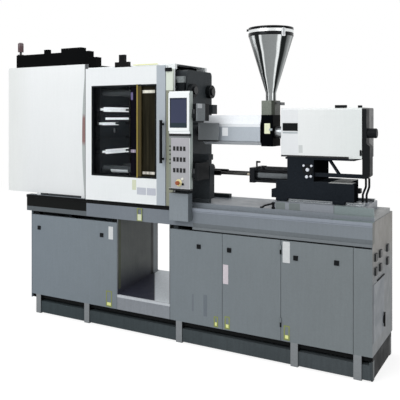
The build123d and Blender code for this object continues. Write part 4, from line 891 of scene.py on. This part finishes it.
dress(
    pane(
        "window_clear", (236, 240, 242),
        [
            # Dark bar painted as the shade of the mould area behind, with two lilac marks
            ((-0.277, None, None), (-0.210, None, None), (9, 7, 16), 1.0),
            ((-0.277, None, 1.735), (-0.258, None, 1.792), (96, 90, 124), 1.0),
            ((-0.277, None, 1.341), (-0.232, None, 1.364), (150, 142, 158), 1.0),
            # Brown patch painted as the shade of the fixed platen behind, with two pale painted highlights of
            # the tie bars
            ((-0.176, None, None), (0.0, None, None), (33, 31, 22), 1.0),
            ((-0.170, None, 1.784), (-0.045, None, 1.806), (214, 212, 200), 1.0),
            ((-0.170, None, 1.184), (-0.045, None, 1.204), (190, 186, 178), 1.0),
        ],
    ),
    "door_window",
)
dress(
    pane("window_tinted", (40, 36, 28), [((-2, None, None), (2, None, None), (30, 28, 22), 0.9)]),
    "rear_door_window",
)


# Plates and marks
def plate_paint(name, colour, rough=0.4, patch=0.04, grain=0.04):
    """Smooth paint of a small plate."""
    return surface(name, colour, rough=rough, patch=patch, grain=grain, bump=0.02, edge=0.0004)


plate_bright = plate_paint("plate_bright", (242, 245, 248), rough=0.35, patch=0.03, grain=0.03)
plate_white = plate_paint("plate_white", (204, 207, 208))
plate_rose = plate_paint("plate_rose", (206, 198, 204), patch=0.05, grain=0.05)
plate_pale = plate_paint("plate_pale", (168, 177, 181))
plate_cream = plate_paint("plate_cream", (206, 211, 186), patch=0.06)
plate_olive = plate_paint("plate_olive", (132, 142, 78), rough=0.45, patch=0.08, grain=0.06)
plate_yellow = plate_paint("plate_yellow", (226, 230, 150), rough=0.42, patch=0.06, grain=0.05)
plate_lilac = plate_paint("plate_lilac", (186, 190, 200), patch=0.05)
plate_lemon = plate_paint("plate_lemon", (236, 241, 208), patch=0.05)
gasket_rubber = surface(
    "gasket_rubber", (26, 29, 31), spec=0.06, rough=0.6, patch=0.08, grain=0.1, bump=0.1,
)
mullion_olive = surface(
    "mullion_olive", (142, 126, 58), rough=0.35, patch=0.12, grain=0.05, streak=0.2, bump=0.04,
    worn=(190, 170, 60), wear=0.7,
)
panel_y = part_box("left_front_panel")[0][1]
DOOR_Y = -0.2075
MARK_BORDER = 0.007
FIELD_INSET = 0.009
for name, x_span, z_span, face, material, body in (
    ("tag_left", (-0.474, -0.431), (0.675, 0.772), panel_y, plate_white, "root"),
    ("tag_cabinet", (0.509, 0.549), (0.466, 0.598), panel_y, plate_rose, "cabinet_door"),
    ("tag_right", (0.944, 0.994), (0.662, 0.799), panel_y, plate_white, "root"),
    ("plate_door_a", (-0.206, -0.126), (1.034, 1.086), DOOR_Y, plate_lilac, "safety_door"),
    ("plate_door_b", (-0.118, -0.040), (1.034, 1.086), DOOR_Y, plate_lilac, "safety_door"),
    ("mark_door", (-0.250, -0.214), (1.066, 1.140), DOOR_Y, plate_cream, "safety_door"),
):
    front_plate(name, x_span, z_span, face, material, body)
frame_ring(
    "window_gasket", (-0.6362, 1.1562), (-0.0338, 1.8478), 0.012, gasket_rubber, "safety_door",
    -0.2085, -0.1885,
)
for name, x0, x1, z0, z1, body in (
    ("mark_left", -0.497, -0.442, 0.160, 0.280, "root"),
    ("mark_middle", 0.438, 0.470, 0.160, 0.232, "root"),
    ("mark_cabinet", 0.522, 0.560, 0.160, 0.246, "cabinet_door"),
    ("mark_right", 0.952, 0.992, 0.162, 0.256, "root"),
):
    frame_ring(
        name, (x0, z0), (x1, z1), MARK_BORDER, plate_olive, body,
        panel_y - PLATE, panel_y + SEAT,
    )
    front_plate(
        name + "_field", (x0 + FIELD_INSET, x1 - FIELD_INSET), (z0 + FIELD_INSET, z0 + 0.032), panel_y,
        plate_yellow, body, thick=0.002,
    )
frame_ring(
    "tag_beam", (-0.206, 0.838), (-0.160, 0.932), MARK_BORDER, plate_olive, "root",
    -0.2089, -0.2073,
)
slab("tag_beam_field", (-0.200, -0.2092, 0.843), (-0.166, -0.2073, 0.888), plate_cream)

# Strips on the window's bar, on the roof, under the right beam and at the skirt's corner
slab(
    "mullion_strip", (-0.210, -0.2092, 1.157), (-0.199, -0.2074, 1.847), mullion_olive, "safety_door",
    corner=0.002,
)
slab("roof_strip", (-0.249, -0.2, 1.9925), (-0.032, -0.19, 1.9975), plate_yellow, axis=2)
lip_paint = surface(
    "gray_paint_lip", (110, 116, 120), rough=0.46, patch=0.04, grain=0.03, bump=0.06,
    worn=(150, 157, 162), wear=0.3,
)
slab(
    "beam_lip", (0.2680, -0.2068, 0.8155), (1.5190, -0.1900, 0.8345), lip_paint,
    corner=0, edge=0.001,
)
corner_paint = surface(
    "dark_paint_corner", (66, 72, 75), spec=0.06, rough=0.55, patch=0.08, grain=0.06, bump=0.1,
    worn=(110, 116, 118), wear=0.3,
)
slab(
    "skirt_corner", (1.5000, -0.1968, 0.010), (1.5183, -0.1930, 0.118), corner_paint,
    corner=0, edge=0.0008,
)

# Plate and rim on the end face
end_blue = surface(
    "end_plate_blue", (105, 111, 117), rough=0.45, patch=0.05, grain=0.03, streak=0.05, bump=0.06,
    worn=(150, 156, 162), wear=0.4,
)
slab(
    "end_plate", (END_X - SEAT, -0.188, 0.232), (END_X + 0.0022, 0.098, 0.586), end_blue, axis=0, corner=0.006,
)
slab(
    "end_plate_rim", (END_X, -0.088, 0.588), (END_X + 0.006, 0.1, 0.596), gasket_rubber,
    axis=0,
)

# Louvred vent and its sill on the injection cover
VENT_X = (0.899, 1.004)
VENT_Z = (1.515, 1.566)
SLATS = 5
cover_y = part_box("injection_cover")[0][1]
cover_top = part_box("injection_cover")[1][2]
frame_ring(
    "cover_vent", (VENT_X[0], VENT_Z[0]), (VENT_X[1], VENT_Z[1]), 0.004, moulded_black, "carriage",
    cover_y - 0.003, cover_y + 0.0005,
)
form = bmesh.new()
add_slab(
    form, (VENT_X[0] + 0.002, cover_y - 0.0006, VENT_Z[0] + 0.002),
    (VENT_X[1] - 0.002, cover_y + 0.0003, VENT_Z[1] - 0.002), corner=0.001, edge=0,
)
for k in range(SLATS):
    z = VENT_Z[0] + 0.006 + (VENT_Z[1] - VENT_Z[0] - 0.012) * (k + 0.5) / SLATS
    add_slab(
        form, (VENT_X[0] + 0.003, cover_y - 0.0025, z - 0.0025),
        (VENT_X[1] - 0.003, cover_y - 0.0004, z + 0.0015), corner=0,
    )
piece("cover_vent_slats", form, moulded_black, "carriage")
front_plate("vent_sill", VENT_X, (1.498, 1.506), cover_y, plate_pale, "carriage", thick=0.0022)

# Plates on the barrel cover and the throat
barrel_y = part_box("barrel_cover")[0][1]
throat_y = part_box("throat_block")[0][1]
front_plate("barrel_plate", (0.412, 0.458), (1.472, 1.532), barrel_y, plate_bright, "carriage")
front_plate("throat_plate", (0.733, 0.776), (1.491, 1.563), throat_y, plate_lemon, "carriage")
slab(
    "throat_bar", (0.770, throat_y - 0.006, 1.512), (0.7939, throat_y + 0.0005, 1.528), plate_pale,
    "carriage", corner=0.004, edge=0.0015,
)

# Switch on the post, and small black boxes of the carriage: lugs and catch of the cover, bracket and flag
# of the nozzle touch, cable clamp
slab(
    "door_switch", (0.046, -0.219, 1.936), (0.098, -0.2035, 1.962), moulded_black,
    corner=0.004, edge=0.0015,
)
lug_foot = cover_top - 0.0004
touch_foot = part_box("nozzle_cylinders")[1][2] - 0.012
for name, low, high, axis, corner, edge in (
    ("cover_lug_a", (1.252, -0.084, lug_foot), (1.326, -0.052, cover_top + 0.017), 2, 0.006, 0.002),
    ("cover_lug_b", (1.400, -0.082, lug_foot), (1.424, -0.056, cover_top + 0.014), 2, 0.004, 0.002),
    ("touch_bracket", (0.690, -0.058, touch_foot), (0.697, -0.044, 1.303), 1, 0.002, 0.0008),
    ("touch_flag", (0.690, -0.058, 1.291), (0.718, -0.044, 1.303), 1, 0.002, 0.0008),
    ("cable_clamp", (1.3800, -0.040, 1.118), (1.4060, -0.002, 1.150), 1, 0.004, 0.0012),
    ("cover_catch", (1.4145, cover_y - 0.004, 1.362), (1.4268, cover_y + SEAT, 1.398), 1, 0.004, 0.001),
):
    slab(name, low, high, moulded_black, "carriage", axis, corner, edge)

# Clasp and its pin at the hopper's rim
CLASP_WAY = 0.1605
CLASP_TURN = math.radians(54.5)
turned(
    "hopper_clasp_pin", (0.8815, -0.031, 2.166), UP, ((0, 0), (0.006, 0), (0.006, 0.05), (0, 0.05)), steel,
    "carriage",
)
form = bmesh.new()
add_slab(form, (-0.013, -0.0045, 2.158), (0.013, 0.0035, 2.214), corner=0.004, edge=0.0012)
spot = Vector((HOPPER_X + CLASP_WAY * math.sin(CLASP_TURN), HOPPER_Y - CLASP_WAY * math.cos(CLASP_TURN), 0))
form.transform(
    Matrix.Translation(spot) @ Matrix.Rotation(CLASP_TURN, 4, "Z") @ Matrix.Translation((-SHIFT, 0, 0))
)
clasp_bright = surface("clasp_bright", (236, 239, 240), rough=0.3, patch=0.04, grain=0.03, bump=0.02)
piece("hopper_clasp", form, clasp_bright, "carriage")

# Round port with a plug and bolts on the carriage's front, port of the nozzle touch and cable gland
carriage_y = -0.0971
bright = surface(
    "fitting_bright", (214, 218, 226), rough=0.25, metal=0.3, patch=0.05, grain=0.04, bump=0.03,
)
turned(
    "port_flange", (1.078, carriage_y, 1.262), FRONT,
    (
        (0.014, 0), (0.036, 0), (0.036, 0.006), (0.034, 0.008),
        (0.020, 0.008), (0.018, 0.004), (0.014, 0.004), (0.014, 0),
    ),
    black_paint, "carriage",
)
turned(
    "port_plug", (1.078, carriage_y, 1.262), FRONT, button(0.013, 0.014, 0.011, 0.016), bright, "carriage",
    steps=6,
)
for k, (x, z, radius) in enumerate(
    ((1.052, 1.288, 0.0075), (1.104, 1.288, 0.0075), (1.072, 1.216, 0.010), (1.100, 1.220, 0.008))
):
    turned(
        f"port_bolt_{k}", (x, carriage_y, z), FRONT, button(radius, 0.012, radius - 0.0015, 0.0135), bright,
        "carriage", steps=24,
    )
turned(
    "touch_port", (0.739, -0.05, touch_foot), UP, button(0.011, 0.026, 0.009, 0.028), moulded_black,
    "carriage", steps=6,
)
turned(
    "cable_gland", (1.366, -0.0572, 1.160), FRONT, button(0.012, 0.008, 0.009, 0.010), bright, "carriage",
    steps=6,
)

# Hose on the deck between a boss and a nipple
DECK_FOOT = 0.9955
tube(
    "deck_hose",
    [
        (0.768, -0.136, 0.9965), (0.776, -0.137, 1.006), (0.80, -0.138, 1.016), (0.83, -0.139, 1.024),
        (0.85, -0.139, 1.03),
    ],
    0.006, rubber, "root",
)
turned(
    "deck_nipple", (0.852, -0.139, DECK_FOOT), UP,
    (
        (0, 0), (0.012, 0), (0.012, 0.012), (0.008, 0.014),
        (0.008, 0.034), (0.011, 0.036), (0.011, 0.044), (0, 0.044),
    ),
    moulded_black, "root",
)
turned(
    "deck_boss", (0.768, -0.136, DECK_FOOT), UP, button(0.013, 0.006, 0.009, 0.009), moulded_black, "root",
)

# Collar of the emergency stop, knobs beside it and lamps beside the keypad
stop_low, stop_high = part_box("emergency_stop")
stop_x = (stop_low[0] + stop_high[0]) / 2 - SHIFT
stop_z = (stop_low[2] + stop_high[2]) / 2
film_y = keys_y + 0.0023
collar_yellow = surface("collar_yellow", (222, 212, 160), rough=0.4, patch=0.06, grain=0.05, bump=0.03)
knob_paint = surface("knob_pale", (226, 226, 214), rough=0.35, patch=0.04, grain=0.04, bump=0.03)
turned(
    "stop_collar", (stop_x, film_y, stop_z), FRONT,
    ((0.0068, 0), (0.025, 0), (0.025, 0.0016), (0.0235, 0.0026), (0.0068, 0.0026), (0.0068, 0)),
    collar_yellow, "hmi_head",
)
turned(
    "knob_pale", (stop_x + 0.03, film_y, stop_z + 0.028), FRONT, button(0.009, 0.006, 0.0075, 0.0075, 0.008),
    knob_paint, "hmi_head", steps=28,
)
turned(
    "knob_dark", (stop_x + 0.034, film_y, stop_z - 0.008), FRONT, button(0.008, 0.008, 0.0065, 0.0095, 0.01),
    moulded_black, "hmi_head", steps=28,
)
for k, z in enumerate((1.404, 1.376, 1.348, 1.312, 1.286)):
    turned(
        f"lamp_{k}", (0.158, film_y, z), FRONT, button(0.0055, 0.002, 0.004, 0.0034, 0.0038), moulded_black,
        "hmi_head", steps=20,
    )

# Floor: white to the camera, with the machine's shadow; a pale gray floor to the light
form = bmesh.new()
for corner in ((-FAR, -FAR), (FAR, -FAR), (FAR, FAR), (-FAR, FAR)):
    form.verts.new((*corner, 0))
form.faces.new(form.verts)
floor_mesh = bpy.data.meshes.new("floor")
form.to_mesh(floor_mesh)
form.free()
floor = bpy.data.objects.new("floor", floor_mesh)
scene.collection.objects.link(floor)
floor_paint = bpy.data.materials.new("floor_white")
ground = Tree(floor_paint)
white_floor = ground.add("ShaderNodeAddShader")
shadow = ground.source("ShaderNodeBsdfDiffuse", Color=(0.34, 0.34, 0.34, 1))
glow = ground.source("ShaderNodeEmission", Color=(0.78, 0.78, 0.78, 1), Strength=1.0)
ground.join(shadow.outputs[0], white_floor.inputs[0])
ground.join(glow.outputs[0], white_floor.inputs[1])
ground.shown_or_light(
    white_floor,
    ground.source("ShaderNodeBsdfDiffuse", Color=(0.72, 0.73, 0.74, 1)),
    "ShaderNodeOutputMaterial",
)
floor_mesh.materials.append(floor_paint)


def lamp(name, place, aim, power, size):
    """Square area lamp that looks at a point."""
    data = bpy.data.lights.new(name, "AREA")
    data.energy = power
    data.size = size
    lamp_object = bpy.data.objects.new(name, data)
    lamp_object.location = place
    lamp_object.rotation_euler = (Vector(aim) - Vector(place)).to_track_quat("-Z", "Y").to_euler()
    scene.collection.objects.link(lamp_object)
    return lamp_object


lamp("key", (-1.0, -5.5, 4.4), (0, 0, 1.0), power=165, size=3.5)
lamp("fill", (5.5, -2.0, 3.2), (0, 0, 1.0), power=30, size=3.5)
lamp("top", (0, 0.5, 5.5), (0, 0, 0), power=70, size=4.0)
# Light in the mould area, which nothing sees directly
inner = lamp("mould_area", placed((-0.12, 0.06, 1.5)), placed((-0.7, 0.06, 1.5)), power=3.4, size=0.5)
inner.visible_camera = False
inner.visible_glossy = False
inner.visible_transmission = False

scene.view_settings.view_transform = "Standard"
